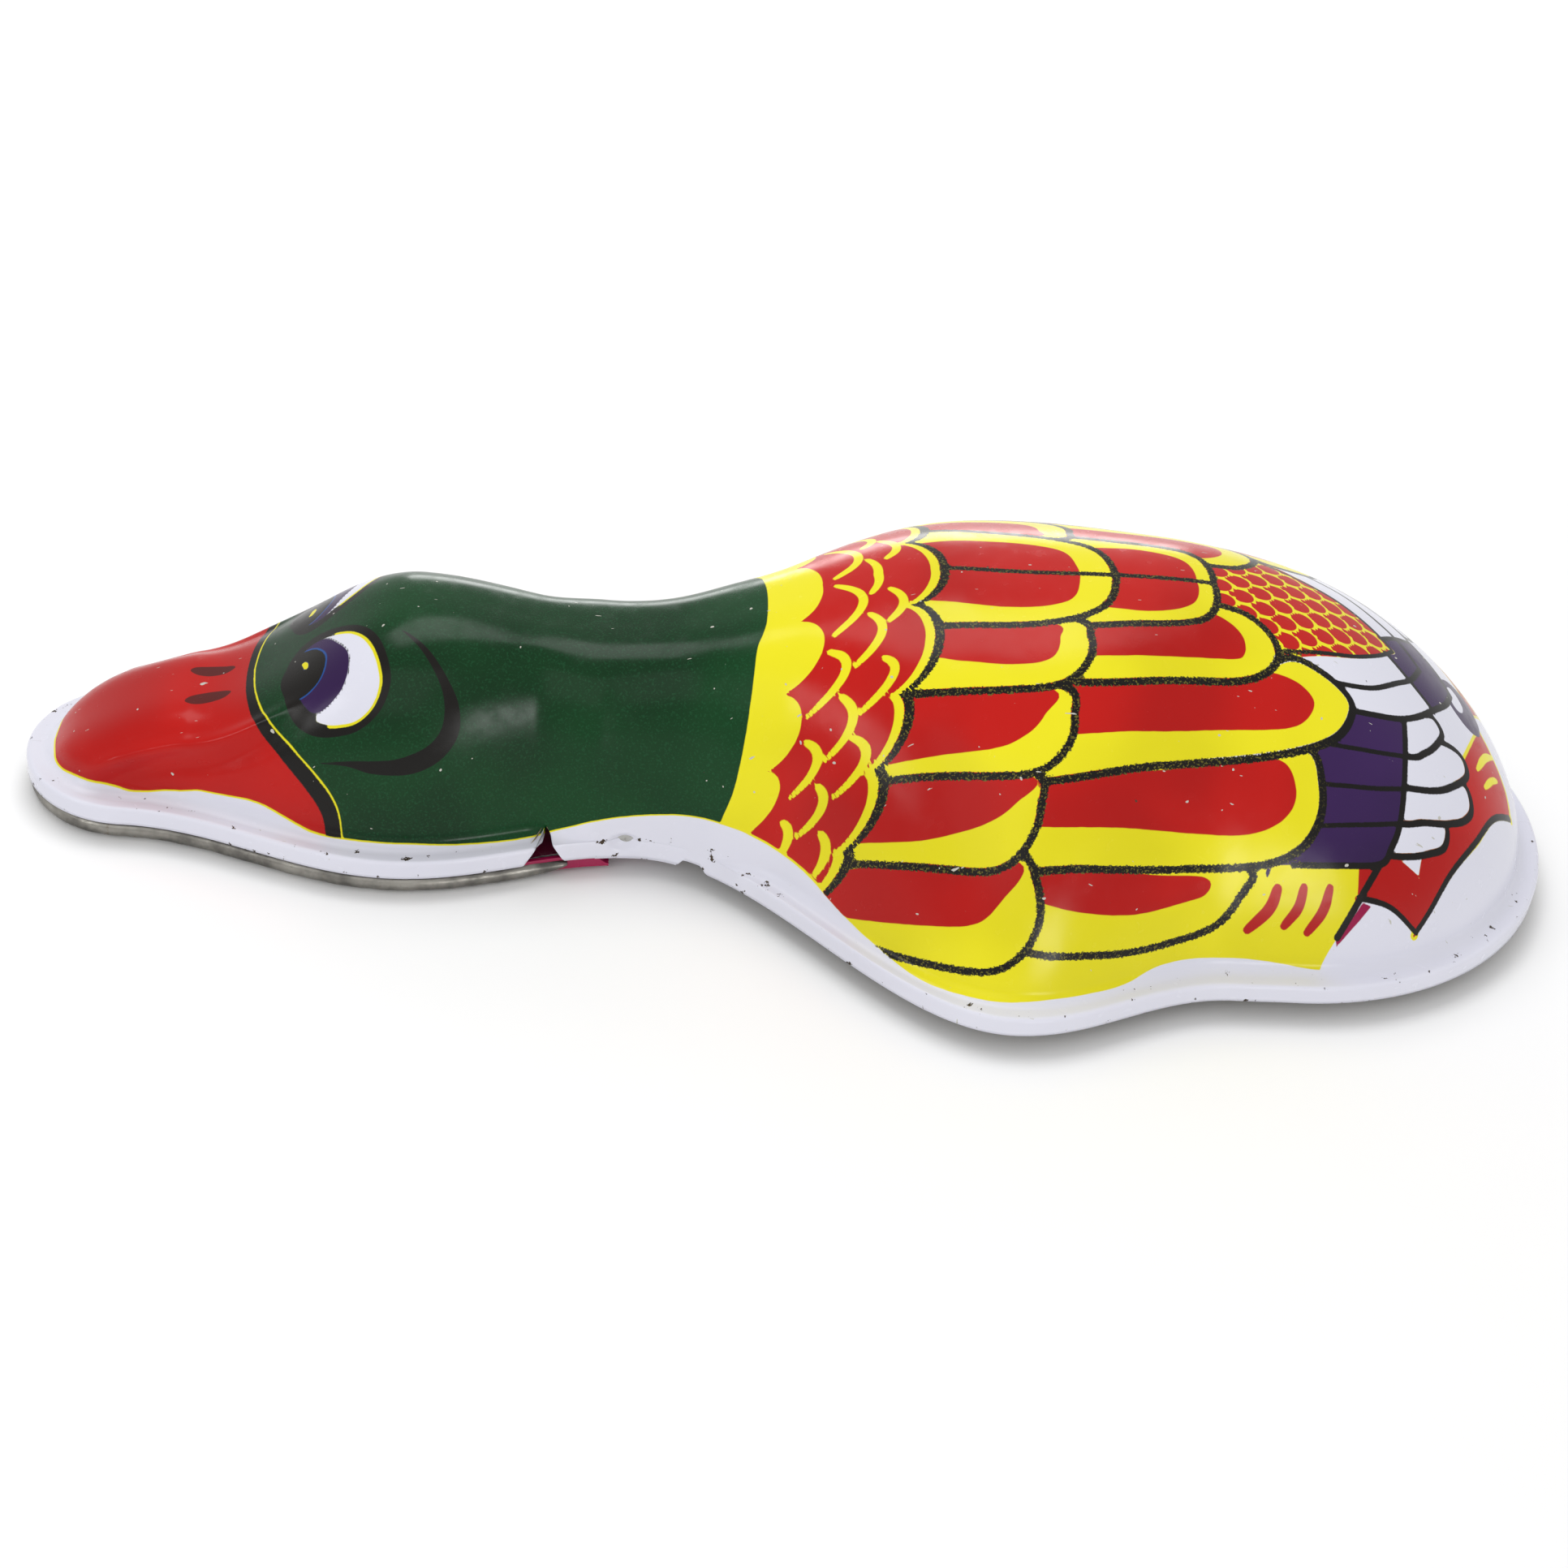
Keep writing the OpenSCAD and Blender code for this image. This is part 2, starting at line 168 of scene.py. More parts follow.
def trimmed(half):
    """Slides the points of a half section that lie below the cut onto the section at the cut's height."""
    over = half[:, :, 2] - cut_height(half[:, :, 0])
    first = np.maximum(np.argmax(over >= 0, axis=1), 1)
    rows = np.arange(len(half))
    low, high = half[rows, first - 1], half[rows, first]
    gap = np.maximum(over[rows, first] - over[rows, first - 1], 1e-9)
    t = np.clip(-over[rows, first - 1] / gap, 0, 1)[:, None]
    at_cut = low + (high - low) * t
    below = (np.arange(half.shape[1])[None, :] < first[:, None])[..., None]
    return np.where(below, at_cut[:, None], half)


def skin(stations, across, rim_rows, inset, edge_in):
    """One skin of the stamping over the stations: right lip and flange, dome, left flange and lip.

    edge_in adds a row that turns in under the lip by the sheet's thickness, so that the two skins meet."""
    dome = dome_surface(stations, across, inset)
    x = -((END - TIP) / 2 - inset) * np.cos(np.pi * stations)
    edge = outline(x, inset, inset)
    foot = dome[:, -1]
    reach = np.hypot(foot[:, 0] - x, foot[:, 1] - edge)[:, None] + 1e-6
    off, z = lip_profile(reach, np.minimum(0.5, reach * 0.9), rim_rows)
    share = off / reach
    z = np.broadcast_to(z - inset * np.clip((z - LIP_Z) / (LIP_H - 0.5), 0, 1), share.shape)
    rim_x = x[:, None] + (foot[:, None, 0] - x[:, None]) * share
    rim_y = edge[:, None] + (foot[:, None, 1] - edge[:, None]) * share
    left = np.stack([rim_x, rim_y, z], axis=2)
    middle = across // 2
    whole_left = np.concatenate([left, dome[:, :middle:-1]], axis=1)
    whole_left = trimmed(whole_left)
    if edge_in:
        nx, ny = plan_normal(x, edge)
        tuck = whole_left[:, :1] - WALL * np.stack([nx, ny, 0 * nx], axis=1)[:, None]
        tuck[:, :, 1] = np.maximum(tuck[:, :, 1], 0)
        whole_left = np.concatenate([tuck, whole_left], axis=1)
    right = whole_left * [1, -1, 1]
    return np.concatenate([right, dome[:, middle:middle + 1], whole_left[:, ::-1]], axis=1)


def dimple(points):
    """Presses an oval dimple into each side of the neck over the hinge pin."""
    d = np.hypot((points[..., 0] - HINGE[0]) / 1.3, (points[..., 2] - HINGE[2] - 0.1) / 0.85)
    push = 0.5 * np.exp(-d ** 3 * 1.2) - 0.1 * np.exp(-((d - 1.35) / 0.25) ** 2)
    side = np.sign(points[..., 1]) * (np.abs(points[..., 1]) > 6)
    points[..., 1] -= side * push
    return points


def sheet_width(points):
    """Distance across each section from the ridge, negative on the right, measured along the surface."""
    steps = np.linalg.norm(np.diff(points, axis=1), axis=2)
    run = np.concatenate([np.zeros((len(points), 1)), np.cumsum(steps, axis=1)], axis=1)
    return run - run[:, points.shape[1] // 2][:, None]


def shouldered(points):
    """Raises a soft crease along each side of the bill and draws the side below it in."""
    w = np.abs(sheet_width(points))
    x = points[..., 0]
    crease = SHOULDER_W + 0.02 * (x + 60)
    push = 0.55 * np.exp(-((w - crease) / 0.75) ** 2) - 0.4 * np.exp(-((w - crease - 2.2) / 1.2) ** 2)
    push = push * ease((x + 70) / 5) * ease((-46 - x) / 8)
    normal = np.cross(np.gradient(points, axis=0), np.gradient(points, axis=1))
    normal = normal / np.maximum(np.linalg.norm(normal, axis=2, keepdims=True), 1e-12)
    outwards = np.sign(normal[len(points) // 2, points.shape[1] // 2, 2])
    return points + outwards * normal * push[..., None]


def grid_faces(rows, columns, closed=False):
    """Quads over a grid of rows by columns, wrapped across the columns if closed."""
    i = np.arange(rows - 1)[:, None]
    j = np.arange(columns if closed else columns - 1)[None, :]
    k = (j + 1) % columns
    near, far = i * columns, (i + 1) * columns
    return np.stack([near + j, near + k, far + k, far + j], axis=2).reshape(-1, 4)


def mesh_piece(name, points, quads, body, smooth=True):
    """Makes a mesh object in metres from points in millimetres and lets it ride on a body."""
    mesh = bpy.data.meshes.new(name)
    mesh.from_pydata((np.asarray(points).reshape(-1, 3) * MM).tolist(), [], np.asarray(quads).tolist())
    piece = bpy.data.objects.new(name, mesh)
    bpy.context.scene.collection.objects.link(piece)
    mesh.polygons.foreach_set("use_smooth", np.full(len(mesh.polygons), smooth))
    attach(piece, body)
    return piece


def tidy_mesh(piece, merge=0.002 * MM, recalc=True):
    """Merges doubled points and points every face outwards."""
    work = bmesh.new()
    work.from_mesh(piece.data)
    bmesh.ops.remove_doubles(work, verts=work.verts, dist=merge)
    bmesh.ops.dissolve_degenerate(work, edges=work.edges, dist=merge / 10)
    if recalc:
        bmesh.ops.recalc_face_normals(work, faces=work.faces)
    work.to_mesh(piece.data)
    work.free()
    piece.data.update()


# ---------------------------------------------------------------- print, in millimetres on the flat sheet

def spline(points, closed=True, steps=8):
    """Catmull-Rom curve through the points; a point given twice is a sharp corner."""
    p = np.array(points, float)
    if closed:
        p = np.vstack([p[-1], p, p[:2]])
    else:
        p = np.vstack([2 * p[0] - p[1], p, 2 * p[-1] - p[-2]])
    t = np.linspace(0, 1, steps, endpoint=False)[None, :, None]
    a, b, c, d = (p[i:len(p) - 3 + i, None] for i in range(4))
    curve = 2 * b + (c - a) * t + (2 * a - 5 * b + 4 * c - d) * t ** 2 + (3 * b - a - 3 * c + d) * t ** 3
    curve = 0.5 * curve.reshape(-1, 2)
    return curve if closed else np.vstack([curve, p[-2]])


def near_segments(at, curve, reach, closed=True):
    """Distance from each print point to a polyline, at most the reach, and whether it lies inside."""
    a = curve
    b = np.roll(curve, -1, axis=0)
    if not closed:
        a, b = a[:-1], b[:-1]
    low, high = curve.min(axis=0) - reach, curve.max(axis=0) + reach
    here = np.flatnonzero(((at > low) & (at < high)).all(axis=1))
    dist = np.full(len(at), reach)
    inside = np.zeros(len(at), bool)
    for part in np.array_split(here, max(1, len(here) * len(a) // 2_000_000)):
        p = at[part][:, None]
        ab = (b - a)[None]
        t = np.clip(((p - a) * ab).sum(2) / np.maximum((ab ** 2).sum(2), 1e-12), 0, 1)
        dist[part] = np.minimum(reach, np.sqrt((((p - a) - t[..., None] * ab) ** 2).sum(2)).min(axis=1))
        rise = np.where(ab[..., 1] == 0, 1e-12, ab[..., 1])
        at_height = ab[..., 0] * (p[..., 1] - a[None, :, 1]) / rise + a[None, :, 0]
        spans = (a[None, :, 1] > p[..., 1]) != (b[None, :, 1] > p[..., 1])
        inside[part] = (spans & (p[..., 0] < at_height)).sum(axis=1) % 2 == 1
    return dist, inside


def shape_field(at, shape, reach=3.0):
    """Signed distance to a closed shape, positive inside."""
    dist, inside = near_segments(at, spline(shape), reach)
    return np.where(inside, dist, -dist)


def strokes_field(at, strokes, reach=1.5):
    """Signed distance to pen strokes, each (points, half width, how fast its ends taper)."""
    field = np.full(len(at), -reach)
    for points, half, taper in strokes:
        curve = spline(points, closed=False)
        share = np.sin(np.pi * np.linspace(0.04, 0.96, len(curve) - 1)) ** taper
        low, high = curve.min(axis=0) - reach, curve.max(axis=0) + reach
        here = np.flatnonzero(((at > low) & (at < high)).all(axis=1))
        for i, size in enumerate(share):
            dist, _ = near_segments(at[here], curve[i:i + 2], reach, closed=False)
            field[here] = np.maximum(field[here], half * size - dist)
    return field


def scalloped(at, cusps, bulges):
    """Distance along x to a scalloped edge x(m), positive towards the bill: arcs between (m, x) cusps."""
    m = at[:, 1]
    edge = np.interp(m, [c[0] for c in cusps], [c[1] for c in cusps])
    for (m0, _), (m1, _), bulge in zip(cusps, cusps[1:], bulges):
        t = (m - m0) / (m1 - m0)
        edge = edge + bulge * np.clip(1 - (2 * t - 1) ** 2, 0, 1) ** 0.62
    return edge - at[:, 0]


def curve_side(at, curve, reach=3.0):
    """Signed distance to an open curve x(m), positive on the bill's side."""
    points = spline(curve, closed=False)
    dist, _ = near_segments(at, points, reach, closed=False)
    beyond = np.interp(at[:, 1], points[:, 1], points[:, 0])
    return np.where(at[:, 0] < beyond, dist, -dist)


# Outlines on the flat print: x from the frame's origin towards the tail, and m from the back's
# middle line down the side
PRINT_EDGE = [
    (-72.4, 0), (-71.8, 4), (-70, 7), (-65, 11.7), (-60, 13.1), (-57, 13.4), (-52, 16.3), (-47, 22),
    (-43.5, 24.6), (-40, 26), (-37, 26.2), (-33, 25.8), (-28, 24.5), (-24, 22.9), (-20, 21.4),
    (-16, 20.9), (-12, 21.3), (-8.6, 22.7), (-5, 25.1), (-1, 29), (3, 34.5), (6, 38), (10, 41.7),
    (15, 43.4), (20, 43.6), (28, 42.2), (33, 39.7), (40, 38.3), (47.8, 37.4), (49, 36)]
BILL_EDGE = [
    (-53.6, -4), (-53.6, 0), (-53.2, 4), (-51.9, 8), (-49.5, 12), (-47, 16.5), (-45.4, 20), (-44.8, 23),
    (-44.6, 28)]
COLLAR = [
    (-5.2, -4), (-5.2, 0), (-5.5, 3.5), (-6.3, 6), (-6.6, 10), (-7, 15), (-7.6, 19.5), (-8.6, 23),
    (-10, 30)]
BREAST_CUSPS = [(-4.1, -2.6), (4.1, -2.6), (11, -3.9), (18.1, -4.8), (25, -7.4), (40, -9)]
BREAST_BULGES = [2.4, 2.9, 2.3, 2.4, 0]
SCALE_CUSPS = [(-4.9, 7.8), (4.9, 7.8), (14.1, 6.5), (20.7, 4.7), (27.8, 2.7), (33, 0.2), (45, -2)]
SCALE_BULGES = [3.2, 2.8, 1.5, 1.5, 1.0, 0]
SCALE_INNER = [(m, x - 1.3) for m, x in SCALE_CUSPS]
# Feathers of the back and wing in the order they overlap: outline, red middle
FEATHERS = [
    ([(18, 29.5), (30, 30.3), (39.7, 29.2), (39.3, 32.2), (37.5, 35.2), (34, 37.2), (27, 38.9),
      (18, 38.2)],
     [(18, 30.4), (30, 31), (35.8, 30.8), (36, 32.4), (33.5, 33.6), (28.5, 35), (22.5, 34.8), (18, 33.2)]),
    ([(16, 22.6), (30, 21), (38, 19), (44.6, 16.8), (46.2, 20), (46, 23.5), (44, 26.8), (40, 29),
      (33, 30.3), (24, 30.9), (16, 30.6)],
     [(16, 23), (28, 21), (37, 19.4), (42, 18.6), (43.6, 20.6), (43.2, 23.2), (40.5, 25.6), (36, 26.7),
      (28, 26.9), (16, 27)]),
    ([(18, 12), (33, 12), (40, 10), (43.4, 8.2), (46.4, 8.7), (48.9, 10.2), (49.2, 12), (47.6, 14.8),
      (44, 17.2), (38, 19.4), (30, 21), (16, 22.8)],
     [(18, 12), (32, 12.6), (38, 11.4), (41.3, 10.4), (44.2, 10.9), (45.3, 12.6), (43, 15.3), (36, 17),
      (28, 18), (18, 18.4)]),
    ([(20, 5), (30, 5), (35, 4), (37.6, 4), (39.8, 4.7), (41.8, 7), (41.5, 9.6), (38.3, 11.9),
      (32, 12.8), (20, 13.1)],
     [(20, 5), (30, 6), (34.5, 5.2), (36.6, 5.4), (38.4, 7), (38.6, 9), (37, 10), (30, 10.5), (20, 10.4)]),
    ([(18, 0), (18, -3), (35.8, -3), (36.3, -0.6), (36.6, 2.4), (35.8, 5), (33.8, 6.4), (28.6, 7),
      (20, 6.9)],
     [(18, 0), (18, -3), (33.8, -3), (34.4, -0.8), (34.9, 1.8), (33.8, 4.3), (30, 5.4), (25, 5),
      (18, 4.6)]),
    ([(-3, 32), (2, 29.6), (10, 29.6), (17.4, 29.6), (19.4, 32.4), (19.9, 36), (18.4, 39.3),
      (15.6, 40.8), (11, 40.2), (5.4, 38)],
     [(-3, 32), (2, 29.6), (10, 29.8), (17.8, 30.6), (16.4, 34), (14, 36.3), (9.5, 36.2), (3.5, 34.9),
      (0, 33.4)]),
    ([(-2, 24), (6, 21.5), (18.2, 22.2), (19.3, 25.6), (18.4, 28.7), (16.6, 30.8), (14, 31.4), (9, 30.6),
      (3, 29.3), (-2, 29)],
     [(-2, 24), (6, 21.6), (18.3, 22.6), (17, 25.2), (14, 27.2), (9, 28.1), (3, 27.3), (-2, 27)]),
    ([(0, 16), (8, 13.8), (20.8, 14), (22.2, 17), (21.5, 20), (19, 22.2), (15, 22.7), (9, 22.3),
      (3, 21.6), (0, 21)],
     [(0, 16), (8, 14), (20, 14.4), (19.4, 17), (17.6, 19), (14.6, 20.2), (9, 20.5), (3, 20.4), (0, 20)]),
    ([(0, 8), (8, 6), (22.1, 6.6), (24, 8.8), (23.6, 11.4), (21.4, 13.7), (17.6, 14.5), (11, 14.7),
      (4, 14), (0, 13.5)],
     [(0, 8), (8, 6.6), (20.2, 7.2), (21.1, 9), (20.2, 11.2), (17, 12), (12, 11.7), (8, 10.8), (0, 10)]),
    ([(0, 0), (0, -4), (24, -4), (26.8, -2), (27.1, 1), (26, 4.4), (23, 6.4), (18, 7.5), (10, 7.8),
      (0, 7.4)],
     [(0, 0), (0, -4), (22, -4), (23.6, -1.4), (23.7, 1), (22.6, 4), (19, 5.2), (14, 5.2), (8.5, 4.4),
      (0, 3)])]
RUMP = [(34, 0), (34, -4), (54, -3), (55.8, 0), (54.6, 1.8), (51, 4.8), (47, 6.6), (42.5, 8.2), (36, 8)]
# White quills behind the rump, white tail feathers and the red tail with its cut end
QUILLS = [
    (40, 6), (46.5, 6.3), (50, 5), (52.7, 3.3), (54.6, 1.5), (56, -2), (62.8, -2), (62.4, 0),
    (61.2, 3.1), (58.8, 6), (56.5, 8.5), (53.8, 10.2), (49.4, 11.6), (44, 12)]
QUILL_LINES = [
    ([(40, 8.3), (43, 7.6), (46.8, 6.3), (50.2, 5), (52.8, 3.3), (54.6, 1.6), (55.8, 0)], 0.24, 0),
    ([(46, 9.2), (48.5, 9.1), (51.9, 7.9), (55, 5.4), (57, 3.4), (58.9, 0)], 0.27, 0),
    ([(47, 11.8), (49.6, 11.5), (53.8, 10.2), (56.5, 8.5), (59, 5.9), (61.2, 3.1), (62.6, 0)], 0.3, 0),
    ([(54.4, 1.6), (56.6, 3.8), (59, 5.9)], 0.27, 0)]
PURPLE_TOP = [
    (54.6, 1.6), (54.6, 1.6), (59, 5.9), (59, 5.9), (61.2, 3.1), (62.6, 0), (62.6, -4), (56, -4),
    (56, -1)]
TAIL_LOBE = [(61, -4), (61, 0), (61.8, 2.4), (63.2, 3.7), (64.8, 3.6), (65.9, 1.8), (66, -4)]
TAIL_SPOT = [(61.9, -3), (62, 0), (62.4, 1.9), (63.2, 2.2), (63.9, 0.8), (64, -3)]
TAIL_FEATHERS = [
    [(48, 23), (54.4, 20), (58, 17.8), (59.7, 17.6), (59.5, 19.6), (57.7, 21.3), (55.4, 22.8),
     (52.6, 23.9), (48, 25)],
    [(46, 19), (54.5, 16.4), (60, 12.6), (62.2, 11.8), (62.9, 13.5), (61.9, 15.4), (59.6, 17.3),
     (56.9, 18.8), (54.4, 20.2), (48, 22.6)],
    [(46, 14), (54.8, 12.8), (58.2, 9.9), (60.8, 8.8), (62.2, 9), (62.5, 10.4), (61.2, 12.3),
     (58.5, 14.8), (54.6, 16.7), (47, 19.6)],
    [(46, 11), (54.8, 9.3), (57.4, 7.6), (58.8, 6.9), (59.7, 8), (58.9, 9.8), (57.3, 11.8), (54.9, 13.5),
     (47, 15.6)]]
BARS = [
    (44, 11.4), (44, 11.4), (49.6, 11.5), (55.1, 9.2), (55.1, 9.2), (54.9, 13.5), (54.4, 19.8),
    (53.6, 22.8), (52.5, 24.9), (52.5, 24.9), (48.1, 26.7), (42, 28.4), (42, 28.4)]
BAR_LINES = [
    ([(44, 16), (47.7, 15.6), (51.9, 14.6), (55, 13.5)], 0.22, 0),
    ([(44, 20), (46.5, 19.6), (51.2, 18.3), (54.7, 16.8)], 0.22, 0),
    ([(44, 24), (46.9, 23.3), (51.2, 21.7), (54.4, 20.2)], 0.22, 0)]
BAR_EDGE = [
    ([(55.1, 9.2), (54.9, 13.5), (54.4, 19.8), (53.6, 22.8), (52.5, 24.9), (48.1, 26.7), (44, 27.9)],
     0.3, 0),
    ([(52.5, 24.9), (51, 28.6), (49.2, 33.5)], 0.32, 0)]
RED_TAIL = [
    (65.4, 2.6), (65.4, 2.6), (62.4, 8.8), (60, 14), (57, 18), (50, 21), (50, 21), (50.6, 28.7),
    (50.6, 28.7), (54.2, 28.2), (57.3, 29.2), (57.3, 29.2), (60.4, 21.5), (63.5, 16.2), (65.8, 11.9),
    (69, 8.2), (69, 8.2), (68.4, 5.6), (65.9, 2), (65.9, 2)]
RED_TAIL_EDGE = [
    ([(50.8, 28.8), (54.2, 28.3), (57.4, 29.2)], 0.3, 0),
    ([(57.4, 29.2), (58.5, 26.5), (60.5, 21.5), (63.5, 16.2), (65.9, 11.9), (69, 8.3)], 0.24, 0)]
WHITE_CORNER = [(54.6, 23.5), (54.6, 23.5), (57, 21.6), (57, 21.6), (56.8, 23.9), (56.8, 23.9)]
MAGENTA_SLIVER = [
    (51.2, 29.2), (51.2, 29.2), (52.2, 29), (52.2, 29), (49.3, 34.4), (49.3, 34.4), (49.2, 33.6),
    (49.2, 33.6)]
REAR = [
    (16, 20), (16, 20), (46, 20), (46, 20), (52.4, 24.9), (52.4, 24.9), (51, 28.6), (49.2, 33.5),
    (48, 38), (46, 50), (46, 50), (16, 50), (16, 50)]
DASHES = [
    ([(42.8, 30.4), (42.3, 32.6), (40.5, 35.2)], 0.56, 0.15),
    ([(45.3, 29.6), (45, 31.8), (43.9, 34)], 0.48, 0.15),
    ([(47.8, 28.9), (47.4, 31.4), (46.2, 34)], 0.48, 0.15)]
TAIL_DASHES = [
    ([(67.1, 3.7), (65.6, 5.6), (64.1, 8.4)], 0.32, 0.3),
    ([(67.2, 6.4), (66.2, 7.6), (65, 9.5)], 0.28, 0.3)]
# Yellow marks on the red breast, in three columns: start, bulge, end
BREAST_MARKS = [
    [(1, 0.2), (3.3, 3.3), (0.6, 6.7)], [(0.2, 8.3), (1.6, 10.6), (-1.5, 13.8)],
    [(-1.5, 16.2), (-0.4, 18.5), (-2.4, 21.3)], [(-2.9, 23.7), (-2.3, 25.3), (-2.9, 27.5)],
    [(3.8, -2.5), (4.9, 0), (4.1, 2.4)], [(3.8, 5.2), (4.8, 7.6), (2.5, 10.4)],
    [(1.3, 12.9), (2.4, 15.6), (0.3, 18.5)], [(-0.2, 20.8), (0.3, 23.1), (-1.6, 25.6)],
    [(0.4, 25.6), (1, 27.7), (0.2, 30)], [(5.8, 2.2), (6.9, 4.3), (5.5, 6.4)],
    [(5, 10.3), (5.8, 12.2), (3, 15)], [(2.5, 17.1), (3.7, 19.4), (1.3, 22.3)]]
BROW = [
    (-39.3, 4.5), (-36.8, 6.4), (-34.8, 9), (-33.6, 11.4), (-33.5, 14.1), (-34.8, 16.6), (-36.8, 18.2),
    (-38.9, 18.7), (-41.4, 18.1), (-43.6, 16.6), (-46.2, 15), (-43.8, 16), (-41.1, 16.9), (-38.9, 17),
    (-36.6, 15.9), (-35.2, 14.1), (-34.9, 11.8), (-35.5, 9.5), (-37.2, 6.8)]
EYE = [
    (-49.8, 3.6), (-49, 1.4), (-47.7, 0.6), (-46, 0.9), (-43.7, 2.3), (-41.9, 4.4), (-40.7, 7),
    (-40.2, 9.6), (-41, 12), (-42.8, 13.2), (-45, 12.8), (-46.9, 11.6), (-48.5, 9.6), (-49.5, 7)]
IRIS = [
    (-48.6, 3.6), (-48.2, 1.7), (-46.6, 1.6), (-45.2, 3.4), (-44.1, 5.4), (-44, 7.6), (-44.8, 9.3),
    (-46.6, 10), (-48, 8.4), (-48.8, 6)]
PUPIL = [(-50, 4.4), (-49, 2.4), (-47.7, 2.6), (-46.6, 4.4), (-46.8, 6.4), (-48, 7.3), (-49.3, 6.8)]
EYE_GLINT = [([(-48.3, 3.6), (-48.1, 4), (-48, 4.5)], 0.26, 0.2)]
NOSTRIL = [
    (-59.5, 2.9), (-58.8, 2.15), (-57.3, 1.8), (-55.9, 1.9), (-55.2, 2.3), (-55.8, 2.95), (-57.3, 3.35),
    (-58.8, 3.4)]


def print_place(x, w):
    """Print coordinates (x, m), with m mirrored about the print's middle line, and the distance to it."""
    middle = np.interp(x, [-56, -53, -46, 0, 10, 25, 35, 50], [-0.5, 0, 0.5, 0.45, 0.3, -0.1, -0.7, -0.5])
    return np.stack([x, np.abs(w - middle) - middle], axis=1), np.abs(w - middle)


# Inks in the order they are printed
INKS = ("yellow", "red", "magenta", "green", "purple", "blue", "maroon", "black")
NO_INK = -3.0


class Plates:
    """The printer's inks, each a signed distance in millimetres that is positive where the ink lies."""

    def __init__(self, count):
        self.ink = {name: np.full(count, NO_INK) for name in INKS}

    def lay(self, name, field):
        """Prints one ink and keeps the inks that print later off it."""
        self.clear(field, INKS[INKS.index(name) + 1:])
        self.ink[name] = np.maximum(self.ink[name], field)

    def clear(self, field, names=INKS):
        """Leaves the white ground bare inside the field."""
        for name in names:
            self.ink[name] = np.minimum(self.ink[name], -field)


def arc(start, bulge, end):
    """Parabola from start through bulge to end."""
    start, bulge, end = map(np.array, (start, bulge, end))
    t = np.linspace(0, 1, 7)[:, None]
    return start * (1 - t) ** 2 + 2 * (2 * bulge - (start + end) / 2) * t * (1 - t) + end * t ** 2


def rump_scales(at, ridge):
    """Overlapping rows of round-tipped scales, each row shifted by half a scale."""
    x = at[:, 0]
    wide, apart, line = 2.3, 2.0, 0.17
    field = np.full(len(x), NO_INK)
    for row in range(12, -1, -1):
        root = 35.2 + apart * row
        over = ((ridge / wide + 0.5 * (row % 2)) % 1 - 0.5) * wide
        scale = np.minimum(1.3 - np.hypot(over * 1.2, np.maximum(x - root, 0)), x - root + 3)
        field = np.where(scale > -line, np.maximum(scale - line, -0.3), field)
    return field


# Half widths of the drawn outlines
WING_LINE, RIDGE_LINE, TAIL_LINE, BREAST_LINE = 0.38, 0.33, 0.3, 0.45


def print_tail(plates, at, ridge, inside):
    """Yellow rear, red tail, white feathers outlined in black, purple bars, quills and the scaly rump."""
    lay, clear = plates.lay, plates.clear
    lay("yellow", np.minimum(inside, np.maximum(shape_field(at, REAR), np.clip(34 - at[:, 0], -3, 3))))
    lay("red", strokes_field(at, DASHES))
    red_tail = shape_field(at, RED_TAIL)
    lay("yellow", red_tail + TAIL_LINE)
    lay("red", red_tail)
    lay("black", strokes_field(at, RED_TAIL_EDGE))
    lay("yellow", strokes_field(at, TAIL_DASHES))
    lay("magenta", shape_field(at, MAGENTA_SLIVER))
    clear(shape_field(at, WHITE_CORNER))
    for feather in TAIL_FEATHERS:
        field = shape_field(at, feather)
        lay("black", field + TAIL_LINE)
        clear(field - TAIL_LINE)
    lay("purple", shape_field(at, BARS))
    lay("black", strokes_field(at, BAR_LINES + BAR_EDGE))
    clear(shape_field(at, QUILLS))
    lay("purple", np.maximum(shape_field(at, PURPLE_TOP), shape_field(at, TAIL_LOBE)))
    clear(shape_field(at, TAIL_SPOT))
    rump = shape_field(at, RUMP)
    lay("yellow", rump)
    lay("red", np.minimum(rump, rump_scales(at, ridge)))
    lay("black", strokes_field(at, QUILL_LINES))


def print_wing(plates, at, ridge):
    """Yellow feathers with black outlines and red middles, and the black line down the back."""
    x = at[:, 0]
    for outer, middle in FEATHERS:
        field = shape_field(at, outer)
        plates.lay("black", field + WING_LINE)
        plates.lay("yellow", field - WING_LINE)
        plates.lay("red", np.minimum(shape_field(at, middle), field - WING_LINE))
    plates.lay("black", np.minimum(RIDGE_LINE - ridge, np.minimum(x - 9, 36.4 - x)))


def print_breast(plates, at, inside):
    """A red scalloped breast with yellow marks, edged black and yellow behind and yellow in front."""
    x, m = at.T
    scales = scalloped(at, SCALE_CUSPS, SCALE_BULGES)
    low = np.clip(31.6 - m + (x + 0.2) * 0.6, -3, 3)
    plates.lay("black", np.minimum(scales + BREAST_LINE, low))
    plates.lay("yellow", np.minimum(scales - BREAST_LINE, low - 0.4))
    plates.lay("red", np.minimum(scalloped(at, SCALE_INNER, SCALE_BULGES), inside - 0.2))
    plates.lay("yellow", strokes_field(at, [(arc(*mark), 0.42, 0.22) for mark in BREAST_MARKS]))
    plates.lay("yellow", np.minimum(scalloped(at, BREAST_CUSPS, BREAST_BULGES), inside))


